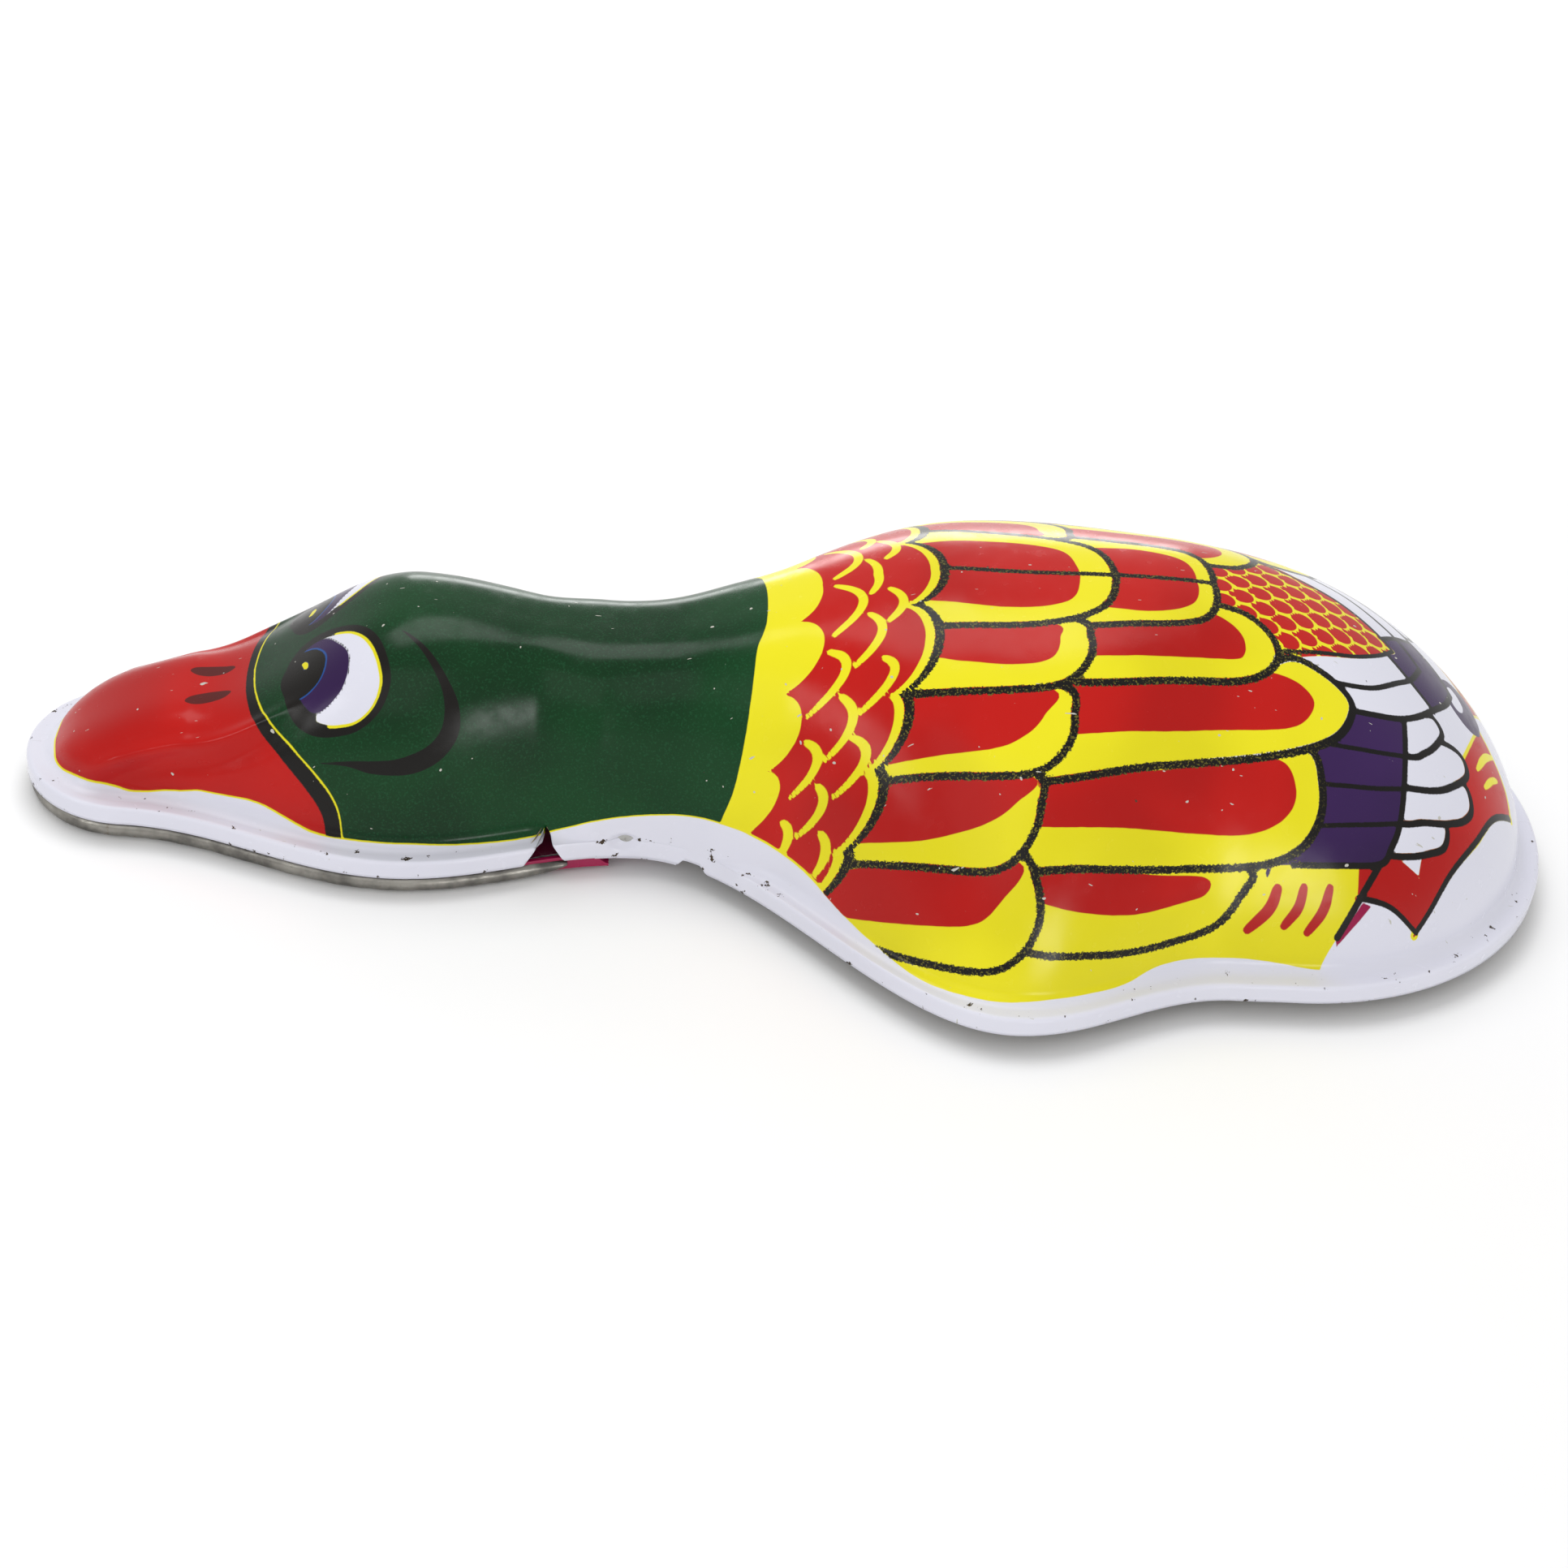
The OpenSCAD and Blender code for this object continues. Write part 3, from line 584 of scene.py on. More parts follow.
def print_head(plates, at, inside):
    """Green head and neck with the eyes and brows, and the red bill edged in black and yellow."""
    x, m = at.T
    lay = plates.lay
    lay("green", np.minimum(curve_side(at, COLLAR), inside - 0.15))
    eye = shape_field(at, EYE)
    lay("black", eye + 0.25)
    lay("yellow", np.minimum(eye - 0.5, (x + 45.6) * 0.8))
    plates.clear(np.minimum(eye - 0.78, x + 46.7))
    iris = shape_field(at, IRIS)
    lay("black", iris + 0.12)
    lay("purple", iris)
    pupil = shape_field(at, PUPIL)
    lay("blue", np.minimum(pupil + 0.5, (x + 48.4) * 0.7))
    lay("black", pupil + 0.35)
    lay("yellow", strokes_field(at, EYE_GLINT))
    lay("black", shape_field(at, BROW))
    # The black edge of the bill widens down the side
    bill = curve_side(at, BILL_EDGE)
    half = 0.33 + 0.016 * np.clip(m, 0, 30)
    lay("yellow", np.minimum(bill + half + 0.14, inside))
    lay("red", np.minimum(bill, inside - 0.17))
    lay("black", np.minimum(half - np.abs(bill), inside - 0.1))
    lay("maroon", shape_field(at, NOSTRIL))


def printed(at, ridge):
    """Lays the whole print from the ground up; ridge is each point's distance to the middle line."""
    plates = Plates(len(at))
    edge = spline(PRINT_EDGE, closed=False)
    dist, _ = near_segments(at, edge, 3.0, closed=False)
    within = (at[:, 1] < np.interp(at[:, 0], edge[:, 0], edge[:, 1])) & (at[:, 0] > PRINT_EDGE[0][0])
    inside = np.where(within, dist, -dist)
    print_tail(plates, at, ridge, inside)
    print_wing(plates, at, ridge)
    print_breast(plates, at, inside)
    print_head(plates, at, inside)
    plates.clear(-inside)
    return plates.ink


# ---------------------------------------------------------------- finishes

def linear(hex_colour):
    """sRGB hex to linear RGBA."""
    c = np.array([int(hex_colour[i:i + 2], 16) for i in (0, 2, 4)]) / 255
    c = np.where(c <= 0.04045, c / 12.92, ((c + 0.055) / 1.055) ** 2.4)
    return (*c, 1.0)


def add(tree, kind, links=None, out=0, **settings):
    """Adds a shader node and gives one of its outputs: links are its inputs, settings its properties."""
    node = tree.nodes.new("ShaderNode" + kind)
    for key, value in settings.items():
        setattr(node, key, value)
    for key, value in (links or {}).items():
        if isinstance(value, bpy.types.NodeSocket):
            tree.links.new(value, node.inputs[key])
        else:
            node.inputs[key].default_value = value
    return node.outputs[out] if len(node.outputs) else None


def finish_tree(name):
    """A new material, its node tree, and Object coordinates in millimetres."""
    material = bpy.data.materials.new(name)
    material.use_nodes = True
    tree = material.node_tree
    tree.nodes.clear()
    place = add(tree, "TexCoord", out="Object")
    mm = add(tree, "VectorMath", {0: place, 1: (1 / MM, 1 / MM, 1 / MM)}, operation="MULTIPLY")
    return material, tree, mm


# Settings that repeat. A map range's sockets 1 to 4 are from low, from high, to low and to high. A colour
# mix has its share in socket 0 and its colours in 6 and 7. A noise of scale 1 / s has grains s mm across
STEP = {"interpolation_type": "SMOOTHSTEP"}
COLOUR = {"data_type": "RGBA", "out": 2}
TIMES = {"operation": "MULTIPLY"}
LESS = {"operation": "SUBTRACT"}
INK_EDGE = 0.05
INK_COLOURS = {
    "yellow": ("E4DA1C", "D6CC16"), "red": ("B8120B", "A40D09"), "magenta": ("A3104A", "8C0C40"),
    "green": ("053A17", "032C10"), "purple": ("361C50", "2C1642"), "blue": ("23569C", "1C4788"),
    "maroon": ("5A1613", "4A1210"), "black": ("0F0D0B", "14110E")}


def lithographed_print():
    """Tinplate with flat inks under a gloss varnish, a grainy black, chips and scratches to the tin."""
    material, tree, mm = finish_tree("lithographed_tinplate")
    grain = add(tree, "TexNoise", {"Vector": mm, "Scale": 1 / 0.22, "Detail": 3})
    soft = add(tree, "TexNoise", {"Vector": mm, "Scale": 1 / 1.4, "Detail": 2})
    cloud = add(tree, "TexNoise", {"Vector": mm, "Scale": 1 / 18, "Detail": 2})
    # Ink edges wander by a few hundredths of a millimetre, and the wing's black is laid as a coarse grain
    wander = add(tree, "Math", {0: add(tree, "Math", {0: soft, 1: 0.5}, **LESS), 1: 0.10}, **TIMES)
    along = add(tree, "SeparateXYZ", {0: mm})
    wing_start = add(tree, "MapRange", {0: along, 1: -12, 2: 0}, **STEP)
    wing_end = add(tree, "MapRange", {0: along, 1: 43, 2: 48}, **STEP)
    coarse = add(tree, "Math", {0: wing_start, 1: wing_end}, **LESS)
    amount = add(tree, "Math", {0: add(tree, "Math", {0: coarse, 1: 0.45}, **TIMES), 1: 0.1})
    speck = add(tree, "Math", {0: add(tree, "Math", {0: grain, 1: 0.5}, **LESS), 1: amount}, **TIMES)
    shade = add(tree, "MapRange", {0: cloud, 1: 0.35, 2: 0.65}, **STEP)
    # Yellow ground shows through the wing's black, and the green has a light grain
    black_grain = add(tree, "MapRange", {0: grain, 1: 0.55, 2: 0.63, 3: 0, 4: 0.6}, **STEP)
    grains = {"green": (add(tree, "MapRange", {0: grain, 1: 0.5, 2: 0.7, 3: 0, 4: 0.28}, **STEP), "1F5C38"),
              "black": (add(tree, "Math", {0: black_grain, 1: coarse}, **TIMES), "77702A")}
    colour = add(tree, "Mix", {0: cloud, 6: linear("DCDCE6"), 7: linear("CFCFDB")}, **COLOUR)
    for name in INKS:
        first, second = INK_COLOURS[name]
        field = add(tree, "Attribute", attribute_name=name, attribute_type="GEOMETRY", out="Fac")
        field = add(tree, "Math", {0: field, 1: speck if name == "black" else wander})
        cover = add(tree, "MapRange", {0: field, 1: -INK_EDGE, 2: INK_EDGE}, **STEP)
        ink = add(tree, "Mix", {0: shade, 6: linear(first), 7: linear(second)}, **COLOUR)
        if name in grains:
            share, grain_colour = grains[name]
            ink = add(tree, "Mix", {0: share, 6: ink, 7: linear(grain_colour)}, **COLOUR)
        colour = add(tree, "Mix", {0: cover, 6: colour, 7: ink}, **COLOUR)
    # Wear: dark chips along the lip and the flange's corner, and a few pale scratches and specks
    wear = add(tree, "Attribute", attribute_name="wear", attribute_type="GEOMETRY", out="Fac")
    chip_noise = add(tree, "TexNoise", {"Vector": mm, "Scale": 1 / 1.1, "Detail": 4, "Roughness": 0.65})
    chip_field = add(tree, "Math", {0: chip_noise, 1: add(tree, "Math", {0: wear, 1: 0.17}, **TIMES)})
    chips = add(tree, "MapRange", {0: chip_field, 1: 0.75, 2: 0.77}, **STEP)
    slanted = add(tree, "Mapping", {"Vector": mm, "Rotation": (0.4, 0.2, 0.9), "Scale": (1, 6, 1)})
    scratch_noise = add(tree, "TexNoise", {
        "Vector": slanted, "Scale": 1 / 1.6, "Detail": 2, "Roughness": 0.4})
    scratches = add(tree, "MapRange", {0: scratch_noise, 1: 0.775, 2: 0.785}, **STEP)
    speck_noise = add(tree, "TexNoise", {"Vector": mm, "Scale": 1 / 0.8, "Detail": 1, "Roughness": 0.3})
    specks = add(tree, "MapRange", {0: speck_noise, 1: 0.80, 2: 0.815}, **STEP)
    pale = add(tree, "Math", {0: scratches, 1: specks}, operation="MAXIMUM")
    colour = add(tree, "Mix", {0: pale, 6: colour, 7: linear("B9B7AE")}, **COLOUR)
    colour = add(tree, "Mix", {0: chips, 6: colour, 7: linear("4A3F34")}, **COLOUR)
    rough_field = add(tree, "Math", {0: soft, 1: chips})
    # Soft waves of the pressed sheet and the varnish's orange peel, then the chips' depth
    wave = add(tree, "TexNoise", {"Vector": mm, "Scale": 1 / 9, "Detail": 1})
    swell = add(tree, "Math", {0: wave, 1: add(tree, "Math", {0: soft, 1: 0.02}, **TIMES)})
    waves = add(tree, "Bump", {"Height": swell, "Distance": 0.22 * MM, "Strength": 0.6})
    hollow = add(tree, "Math", {0: chips, 1: -1.0}, **TIMES)
    chipped = add(tree, "Bump", {"Height": hollow, "Distance": 0.05 * MM, "Strength": 0.6, "Normal": waves})
    surface = add(tree, "BsdfPrincipled", {
        "Base Color": colour, "IOR": 1.45, "Specular IOR Level": 0.24, "Normal": chipped,
        "Metallic": add(tree, "Math", {0: chips, 1: 0.6}, **TIMES),
        "Roughness": add(tree, "MapRange", {0: rough_field, 1: 0.3, 2: 1.4, 3: 0.19, 4: 0.5}, **STEP)})
    add(tree, "OutputMaterial", {"Surface": surface})
    return material


def bare_metal(name, bright, dull, rough, brushed, stain="6B5A45"):
    """Steel or tinplate, bare or thinly varnished: cloudy, with rolling lines, stains and a soft sheen."""
    material, tree, mm = finish_tree(name)
    lines = add(tree, "Mapping", {"Vector": mm, "Scale": (0.15, 3.0, 3.0)})
    rolled = add(tree, "TexNoise", {"Vector": lines, "Scale": 1 / 0.5, "Detail": 3})
    cloud = add(tree, "TexNoise", {"Vector": mm, "Scale": 1 / 4, "Detail": 4, "Roughness": 0.6})
    spots = add(tree, "TexNoise", {"Vector": mm, "Scale": 1 / 1.6, "Detail": 4, "Roughness": 0.7})
    dulled = add(tree, "MapRange", {0: cloud, 1: 0.3, 2: 0.7}, **STEP)
    stained = add(tree, "MapRange", {0: spots, 1: 0.6, 2: 0.74, 3: 0, 4: 0.7}, **STEP)
    colour = add(tree, "Mix", {0: dulled, 6: linear(bright), 7: linear(dull)}, **COLOUR)
    colour = add(tree, "Mix", {0: stained, 6: colour, 7: linear(stain)}, **COLOUR)
    uneven = add(tree, "Math", {0: rolled, 1: cloud})
    sheen = {0: uneven, 1: 0.5, 2: 1.5, 3: rough - 0.1, 4: rough + 0.14}
    surface = add(tree, "BsdfPrincipled", {
        "Base Color": colour, "Metallic": 1.0,
        "Roughness": add(tree, "MapRange", sheen, **STEP),
        "Normal": add(tree, "Bump", {"Height": rolled, "Distance": 0.03 * MM * brushed, "Strength": 0.5})})
    add(tree, "OutputMaterial", {"Surface": surface})
    return material


def sprayed_lacquer(name, first, second):
    """Plain coloured stoving lacquer on tin, with fine specks where the tin shows."""
    material, tree, mm = finish_tree(name)
    cloud = add(tree, "TexNoise", {"Vector": mm, "Scale": 1 / 6, "Detail": 3})
    worn_noise = add(tree, "TexNoise", {"Vector": mm, "Scale": 1 / 0.9, "Detail": 4, "Roughness": 0.7})
    peel = add(tree, "TexNoise", {"Vector": mm, "Scale": 1 / 1.2, "Detail": 2})
    worn = add(tree, "MapRange", {0: worn_noise, 1: 0.72, 2: 0.75}, **STEP)
    colour = add(tree, "Mix", {0: cloud, 6: linear(first), 7: linear(second)}, **COLOUR)
    colour = add(tree, "Mix", {0: worn, 6: colour, 7: linear("8A8680")}, **COLOUR)
    surface = add(tree, "BsdfPrincipled", {
        "Base Color": colour, "IOR": 1.5,
        "Metallic": add(tree, "Math", {0: worn, 1: 0.7}, **TIMES),
        "Roughness": add(tree, "MapRange", {0: cloud, 1: 0.2, 2: 0.8, 3: 0.2, 4: 0.34}, **STEP),
        "Normal": add(tree, "Bump", {"Height": peel, "Distance": 0.04 * MM, "Strength": 0.5})})
    add(tree, "OutputMaterial", {"Surface": surface})
    return material


PRINTED = lithographed_print()
INSIDE_TIN = bare_metal("gold_varnished_tinplate", "B5A98C", "8F8368", 0.34, 1)
CURLED_TIN = bare_metal("handled_bare_tinplate", "97948D", "5C5A56", 0.36, 1)
BRIGHT_STEEL = bare_metal("bright_drawn_steel", "C9C9C6", "A5A5A2", 0.26, 1, "7D7468")
BLUED_SPRING = bare_metal("tempered_spring_steel", "9AA0A8", "6D7480", 0.3, 2, "5A4D3E")
MAGENTA = sprayed_lacquer("magenta_stoving_lacquer", "A3104A", "8A0D3E")


# ---------------------------------------------------------------- the shell

def add_values(piece, values):
    """Stores one number per point for each named ink or wear mask."""
    for name, numbers in values.items():
        layer = piece.data.attributes.new(name, "FLOAT", "POINT")
        layer.data.foreach_set("value", np.ascontiguousarray(numbers, dtype=np.float32))


STATIONS, ACROSS, RIM_ROWS = 741, 281, 15
outer = shouldered(dimple(skin(np.linspace(0, 1, STATIONS), ACROSS, RIM_ROWS, 0, True)))
x, height = outer[:, :, 0], outer[:, :, 2]
values = printed(*print_place(x.ravel(), sheet_width(outer).ravel()))
# Worn along the flange's corner and the lip's edge, round the dimples and where a hand holds the neck
ring = np.hypot((x - HINGE[0]) / 1.4, (height - HINGE[2] - 0.1) / 0.9)
wear = (0.6 * np.exp(-((height - FLANGE_Z) / 0.3) ** 2) + np.exp(-((height - LIP_Z) / 0.5) ** 2)
        + 0.5 * np.exp(-((ring - 1) / 0.5) ** 2) + 0.55 * np.exp(-((x + 10) / 6) ** 2) * (height < 5.5))
values["wear"] = np.minimum(wear, 0.8).ravel()
skins = []
for name, first, last in (
        ("duck_skin_head", 0, 290), ("duck_skin_back", 290, 470), ("duck_skin_tail", 470, STATIONS - 1)):
    rows = slice(first, last + 1)
    quads = grid_faces(last - first + 1, outer.shape[1])[:, ::-1]
    piece = mesh_piece(name, outer[rows], quads, "duck")
    add_values(piece, {k: v.reshape(outer.shape[:2])[rows].ravel() for k, v in values.items()})
    tidy_mesh(piece, recalc=False)
    piece.data.materials.append(PRINTED)
    skins.append(piece)

inner = shouldered(dimple(skin(np.linspace(0, 1, 241), 101, RIM_ROWS, WALL, False)))
lining = mesh_piece("duck_lining", inner, grid_faces(241, inner.shape[1]), "duck")
tidy_mesh(lining, recalc=False)
lining.data.materials.append(INSIDE_TIN)


def folded_tab(name, side):
    """The neck's lip folded in under the bridge's foot: a thin strip with a rounded outer edge."""
    rows, reach, half = 30, 2.7, WALL / 2
    x = np.linspace(TAB[0], TAB[1], rows)
    edge = outline(x, 0, 0)
    a = np.linspace(-np.pi / 2, np.pi / 2, 9)
    out = np.concatenate([[-reach], half * (np.cos(a) - 1), [-reach]])
    up = np.concatenate([[LIP_Z - half], LIP_Z + half * np.sin(a), [LIP_Z + half]])
    y = side * (edge[:, None] + out[None, :])
    points = np.stack([np.broadcast_to(x[:, None], y.shape), y, np.broadcast_to(up, y.shape)], axis=2)
    piece = mesh_piece(name, points, grid_faces(rows, len(up), closed=True), "duck")
    cap_ends(piece, rows, len(up))
    count = len(piece.data.vertices)
    add_values(piece, {"wear": np.full(count, 1.0), **{ink: np.full(count, NO_INK) for ink in INKS}})
    piece.data.materials.append(PRINTED)
    return piece


def cap_ends(piece, rows, columns):
    """Closes the two ends of a tube with one face each and points its faces outwards."""
    work = bmesh.new()
    work.from_mesh(piece.data)
    work.verts.ensure_lookup_table()
    work.faces.new([work.verts[j] for j in range(columns)])
    work.faces.new([work.verts[(rows - 1) * columns + j] for j in range(columns)])
    bmesh.ops.recalc_face_normals(work, faces=work.faces)
    work.to_mesh(piece.data)
    work.free()


tabs = [folded_tab("folded_tab_left", 1), folded_tab("folded_tab_right", -1)]
for piece in [*skins, lining, *tabs]:
    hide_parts("duck_shell")


# ---------------------------------------------------------------- lower bill

RIM_W, RIM_H, RIM_INSET = 1.8, 1.9, 0.28
JAW_BACK = NOTCH[1]
# The pan's underside and thickness
PAN_Z, PAN_T = 0.6, 0.4


def jaw_path(inset, steps=160):
    """Plan curve of the lower bill from its right end round the tip to its left end."""
    start = TIP + inset
    x = start + (JAW_BACK - start) * (1 - np.cos(np.pi / 2 * np.linspace(0, 1, steps)))
    y = outline(x, inset, inset)
    return np.concatenate([x[::-1], x[1:]]), np.concatenate([-y[::-1], y[1:]])


def curled_rim():
    """A sheet edge rolled into an open curl, carried along the plan curve of the lower bill."""
    x, y = jaw_path(RIM_INSET + RIM_W / 2)
    nx, ny = plan_normal(x, y)
    a = np.linspace(0, 2 * np.pi, 29)[:-1]
    squarish = (np.abs(np.cos(a)) ** 2.2 + np.abs(np.sin(a)) ** 2.2) ** (-1 / 2.2)
    out, up = RIM_W / 2 * squarish * np.cos(a), RIM_H / 2 * squarish * np.sin(a)
    seam = np.exp(-((a - 4.1) / 0.12) ** 2)
    out, up = out * (1 - 0.12 * seam), up * (1 - 0.16 * seam)
    # Hammered flatter and thinner towards its two ends
    ends = np.clip((JAW_BACK - x) / 4, 0, 1)[:, None] ** 0.5
    flat = 0.35 + 0.65 * ends
    dents = 0.05 * np.sin(x * 2.1)[:, None] * np.sin(x * 0.83 + 1)[:, None]
    points = np.stack([
        x[:, None] - nx[:, None] * out, y[:, None] - ny[:, None] * out,
        RIM_H * (0.92 - 0.42 * flat) + (up * 0.92 + dents * np.cos(a)) * flat], axis=2)
    piece = mesh_piece("lower_bill_rim", points, grid_faces(len(x), len(a), closed=True), "jaw")
    cap_ends(piece, len(x), len(a))
    piece.data.materials.append(CURLED_TIN)
    return piece


def pan():
    """Floor of the lower bill: a thin plate inside the rim, turned up where it runs into the curl."""
    x, y = jaw_path(RIM_W - 0.2, 100)
    half = len(x) // 2
    t = np.linspace(-1, 1, 41)[None, :]
    py = y[half:, None] * t
    px = np.broadcast_to(x[half:, None], py.shape)
    z = PAN_Z + PAN_T + 0.35 * np.abs(t) ** 14 * np.ones_like(px)
    top = np.stack([px, py, z], axis=2)
    low = np.stack([px, py, z - PAN_T], axis=2)
    points = np.concatenate([top, low[:, ::-1]], axis=1)
    piece = mesh_piece("lower_bill_pan", points, grid_faces(len(px), points.shape[1], closed=True), "jaw")
    tidy_mesh(piece)
    piece.data.materials.append(MAGENTA)
    return piece


def flat_stamping(name, loops, z0, z1, body, material, axes=(0, 1, 2)):
    """A flat plate from z0 to z1 with a soft sheared edge: loops are its outline and then its holes."""
    curve = bpy.data.curves.new(name + "_cut", "CURVE")
    curve.dimensions = "2D"
    curve.fill_mode = "BOTH"
    for loop in loops:
        line = curve.splines.new("POLY")
        line.points.add(len(loop) - 1)
        line.points.foreach_set("co", np.hstack([loop, np.tile((0.0, 1.0), (len(loop), 1))]).ravel())
        line.use_cyclic_u = True
    bevel = min(0.08, (z1 - z0) / 4)
    curve.extrude = (z1 - z0) / 2 - bevel
    curve.bevel_depth = bevel
    curve.bevel_resolution = 2
    curve.offset = -bevel
    cut = bpy.data.objects.new(name + "_cut", curve)
    bpy.context.scene.collection.objects.link(cut)
    mesh = bpy.data.meshes.new_from_object(cut.evaluated_get(bpy.context.evaluated_depsgraph_get()))
    bpy.data.objects.remove(cut)
    mesh.name = name
    co = np.empty(len(mesh.vertices) * 3)
    mesh.vertices.foreach_get("co", co)
    co = (co.reshape(-1, 3) + [0, 0, (z0 + z1) / 2])[:, axes] * MM
    mesh.vertices.foreach_set("co", co.ravel())
    mesh.materials.clear()
    mesh.materials.append(material)
    piece = bpy.data.objects.new(name, mesh)
    bpy.context.scene.collection.objects.link(piece)
    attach(piece, body)
    tidy_mesh(piece, merge=0.0005 * MM)
    return piece


def arc_points(x, y, r, turn, steps, endpoint=True):
    """Points round part of a circle, from angle 0 to turn."""
    a = np.linspace(0, turn, steps, endpoint=endpoint)
    return np.column_stack([x + r * np.cos(a), y + r * np.sin(a)])


TONGUE_W = 14.2
TONGUE_BACK = HINGE[0] + 9.3
EAR_T, EAR_R, EAR_HOLE_R = 0.5, 2.1, 0.95


def cheek(name, side):
    """The pan's side wall behind the rim, folded up in line with the duck's lip and cut off on a slant."""
    rows, wall, base = 24, 0.35, PAN_Z + 0.01
    x = np.linspace(JAW_BACK - 4, JAW_BACK + 4.2, rows)
    top = 2.1 - 1.2 * ease((x - JAW_BACK - 2.4) / 1.8)
    y = outline(x, 0.7, 0.7)
    up = np.array([0, 1, 1, 0, 0, 0])
    inwards = np.array([0, 0, 1, 1, 3.2, 3.2])
    foot = np.array([0, 0, 0, 1, 1, 0])
    py = side * (y[:, None] - wall * inwards[None, :])
    pz = base + (top[:, None] - base) * up[None, :] + 0.33 * foot[None, :]
    points = np.stack([np.broadcast_to(x[:, None], py.shape), py, pz], axis=2)
    piece = mesh_piece(name, points, grid_faces(rows, len(up), closed=True), "jaw", smooth=False)
    cap_ends(piece, rows, len(up))
    piece.data.materials.append(MAGENTA)
    return piece


front, half = JAW_BACK - 6, TONGUE_W / 2
tongue = flat_stamping(
    "jaw_tongue", [[(front, -half), (TONGUE_BACK, -half), (TONGUE_BACK, half), (front, half)]],
    PAN_Z + 0.02, PAN_Z + PAN_T - 0.02, "jaw", MAGENTA)
ear_foot = [(HINGE[0] - EAR_R, 0.7), (HINGE[0] + EAR_R, 0.7)]
ear_loops = [np.vstack([ear_foot, arc_points(HINGE[0], HINGE[2], EAR_R, np.pi, 24)]),
             arc_points(HINGE[0], HINGE[2], EAR_HOLE_R, 2 * np.pi, 40, endpoint=False)]
ears = [
    flat_stamping("jaw_ear_left", ear_loops, half - EAR_T, half, "jaw", MAGENTA, axes=(0, 2, 1)),
    flat_stamping("jaw_ear_right", ear_loops, -half, -half + EAR_T, "jaw", MAGENTA, axes=(0, 2, 1))]
rim, floor_pan, cheeks = curled_rim(), pan(), [cheek("pan_cheek_left", 1), cheek("pan_cheek_right", -1)]
for piece in [rim, floor_pan, tongue, *cheeks, *ears]:
    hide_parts("lower_jaw")


# ---------------------------------------------------------------- frame parts that keep their shape

for material, names in (
        (CURLED_TIN, ("neck_bridge", "reed_clamp", "squeeze_lever", "quack_comb")),
        (BRIGHT_STEEL, ("pivot_pin", "reed_rivet_left", "reed_rivet_right", "lever_rivet_left",
                        "lever_rivet_right", "comb_rivet_left", "comb_rivet_right")),
        (BLUED_SPRING, ("return_spring", "quack_reed"))):
    for name in names:
        for slot in frame["nodes"][name].material_slots:
            slot.material = material


def wound_spring():
    """A copy of the return spring in place; its coil runs from the duck's leg to the jaw's leg."""
    source = frame["nodes"]["return_spring"]
    piece = bpy.data.objects.new("wound_spring", source.data.copy())
    bpy.context.scene.collection.objects.link(piece)
    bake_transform(piece)
    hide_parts("return_spring")
    return piece


for slot_name, slot_pieces in (
        ("litho_tin", [*skins, *tabs, lining]), ("magenta_tin", [tongue, *ears, *cheeks, floor_pan]),
        ("bare_tin", [rim]), ("spring_steel", [wound_spring()])):
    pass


# ---------------------------------------------------------------- studio

def studio_floor():
    """Pale matt paper under the toy."""
    bpy.ops.mesh.primitive_plane_add(size=6, location=(0, 0, -0.1 * MM))
    floor = bpy.context.object
    floor.name = "floor"
    material, tree, mm = finish_tree("pale_paper")
    cloud = add(tree, "TexNoise", {"Vector": mm, "Scale": 1 / 60, "Detail": 3})
    colour = add(tree, "Mix", {0: cloud, 6: linear("F7F7F7"), 7: linear("F3F3F3")}, **COLOUR)
    surface = add(tree, "BsdfPrincipled", {
        "Base Color": colour, "Roughness": 0.9, "Specular IOR Level": 0.1})
    add(tree, "OutputMaterial", {"Surface": surface})
    floor.data.materials.append(material)


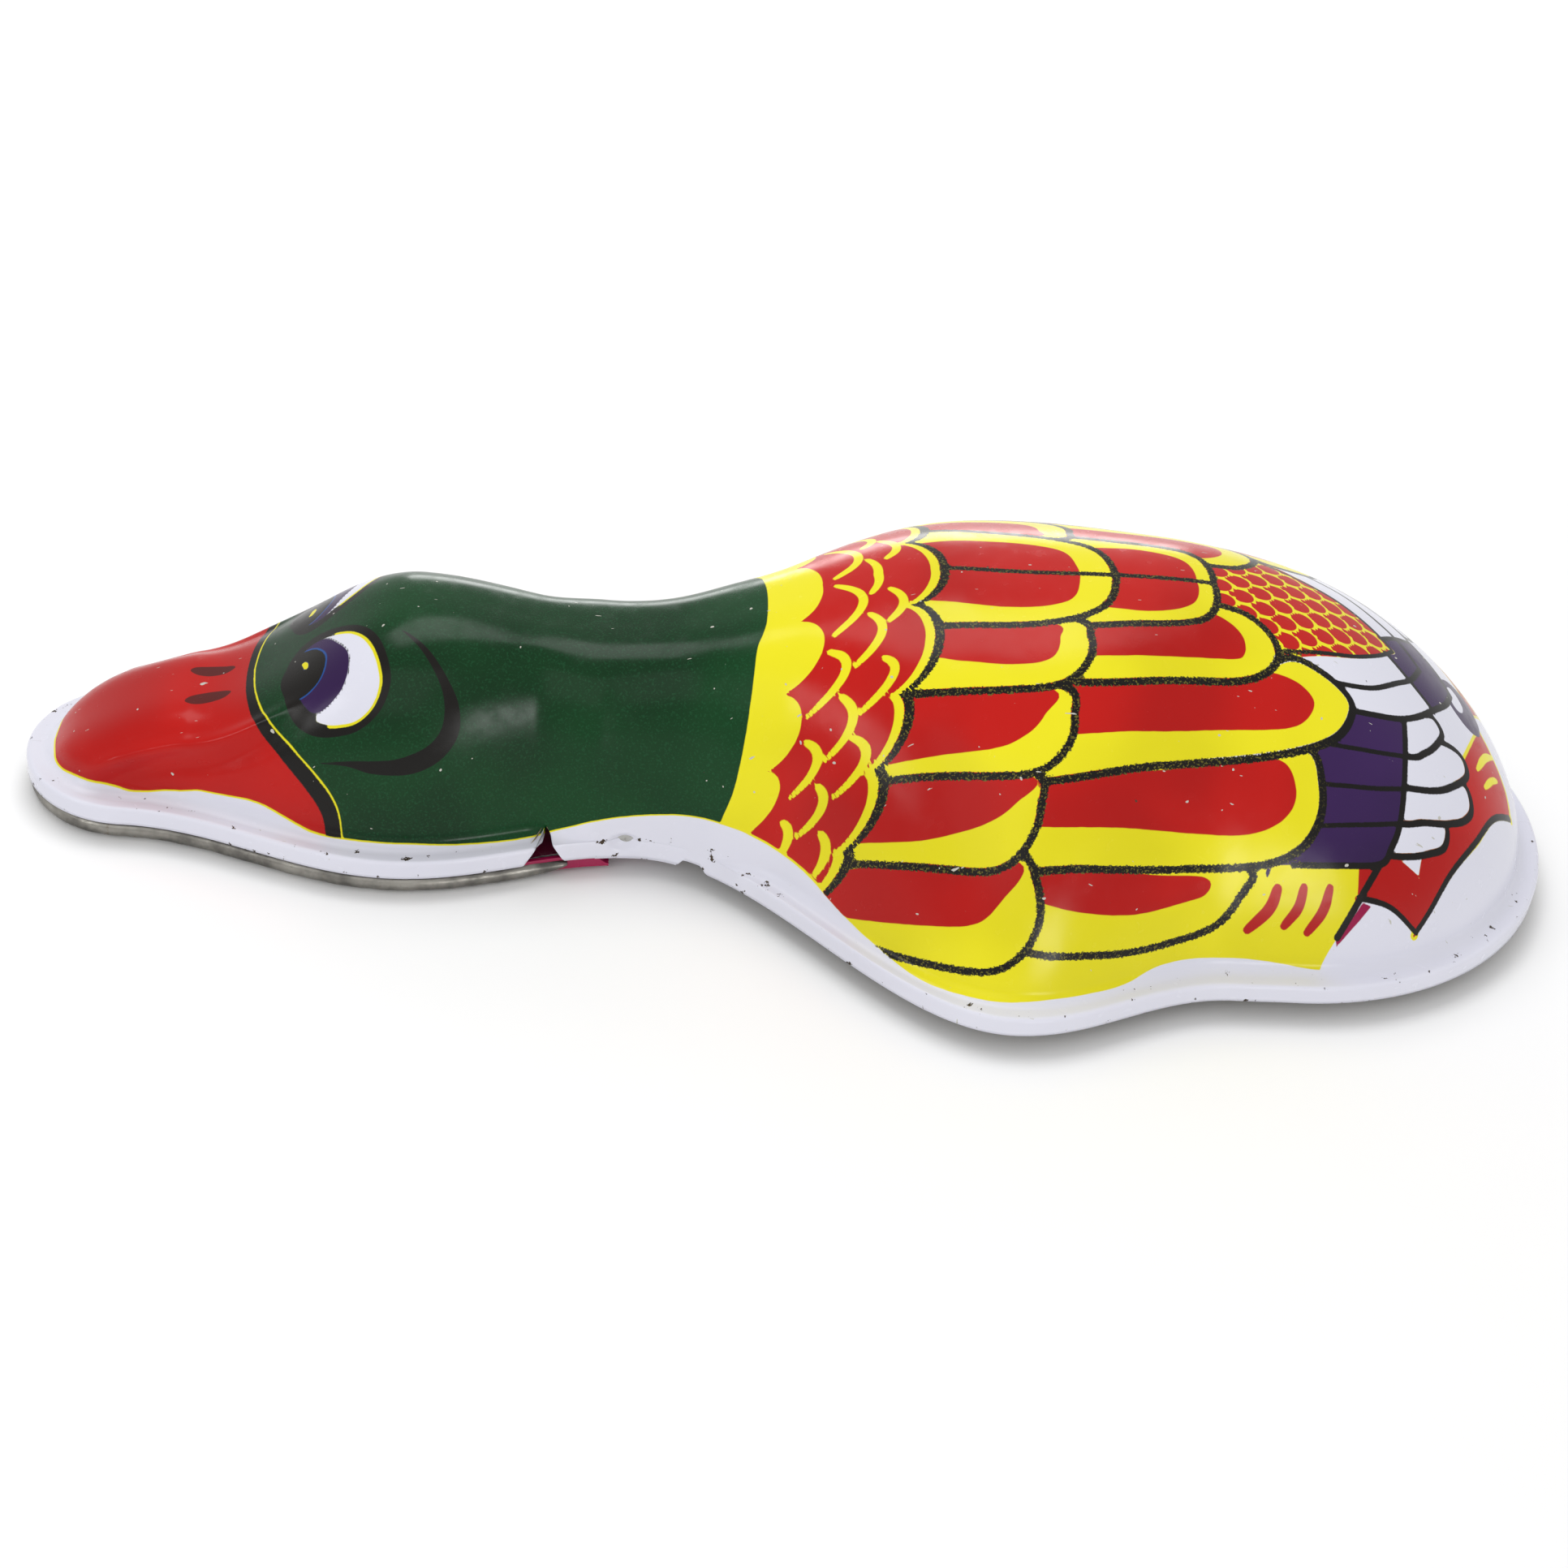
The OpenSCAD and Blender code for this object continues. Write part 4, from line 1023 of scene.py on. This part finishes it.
def soft_box(name, place, target, wide, tall, watts):
    """A rectangular soft light at place, in millimetres, turned to the target."""
    light = bpy.data.lights.new(name, "AREA")
    light.shape = "RECTANGLE"
    light.size, light.size_y = wide * MM, tall * MM
    light.energy = watts
    lamp = bpy.data.objects.new(name, light)
    bpy.context.scene.collection.objects.link(lamp)
    place, target = np.array(place, float), np.array(target, float)
    back = (place - target) / np.linalg.norm(place - target)
    side = np.cross((0, 0, 1), back)
    side = side / np.linalg.norm(side)
    up = np.cross(back, side)
    turn(lamp, side, up, back, place)


def turn(thing, side, up, back, place):
    """Sets an object's axes and place, in millimetres."""
    rows = [[*map(float, row)] for row in zip(side, up, back, np.array(place) * MM)]
    thing.matrix_world = mathutils.Matrix([*rows, [0, 0, 0, 1]])


studio_floor()
world = bpy.data.worlds.new("studio")
bpy.context.scene.world = world
world.use_nodes = True
sky = world.node_tree.nodes["Background"].inputs
sky["Color"].default_value = (1, 1, 1, 1)
sky["Strength"].default_value = 0.72
soft_box("top_box", (-60, 120, 420), (0, 0, 10), 340, 240, 0.8)
soft_box("back_box", (25, 430, 70), (20, 0, 20), 260, 90, 0.4)
soft_box("front_box", (-120, -480, 360), (0, 0, 10), 420, 380, 0.3)
soft_box("neck_box", (200, -449, 61), (-30, -9, 16), 110, 120, 0.3)
soft_box("breast_box", (-392, -259, 197), (3, -14, 22), 130, 130, 0.22)

# Camera: 38 degrees above the table, a little round towards the bill, with the picture turned clockwise
elevation, azimuth, roll = np.radians([38.0, -7.089, 7.506])
right = np.array([np.cos(azimuth), np.sin(azimuth), 0])
back = np.cross(right, (0, 0, 1)) * np.cos(elevation) + np.array([0, 0, np.sin(elevation)])
up = np.cross(back, right)
camera = bpy.data.cameras.new("camera")
camera.sensor_width = 36
camera.lens = 67.34
camera.clip_start = 0.01
shot = bpy.data.objects.new("camera", camera)
bpy.context.scene.collection.objects.link(shot)
turn(shot, right * np.cos(roll) + up * np.sin(roll), up * np.cos(roll) - right * np.sin(roll), back,
     np.array([-2.109, -5.33, 8.0]) + back * 283.79)
bpy.context.scene.camera = shot
bpy.context.scene.view_settings.view_transform = "Standard"
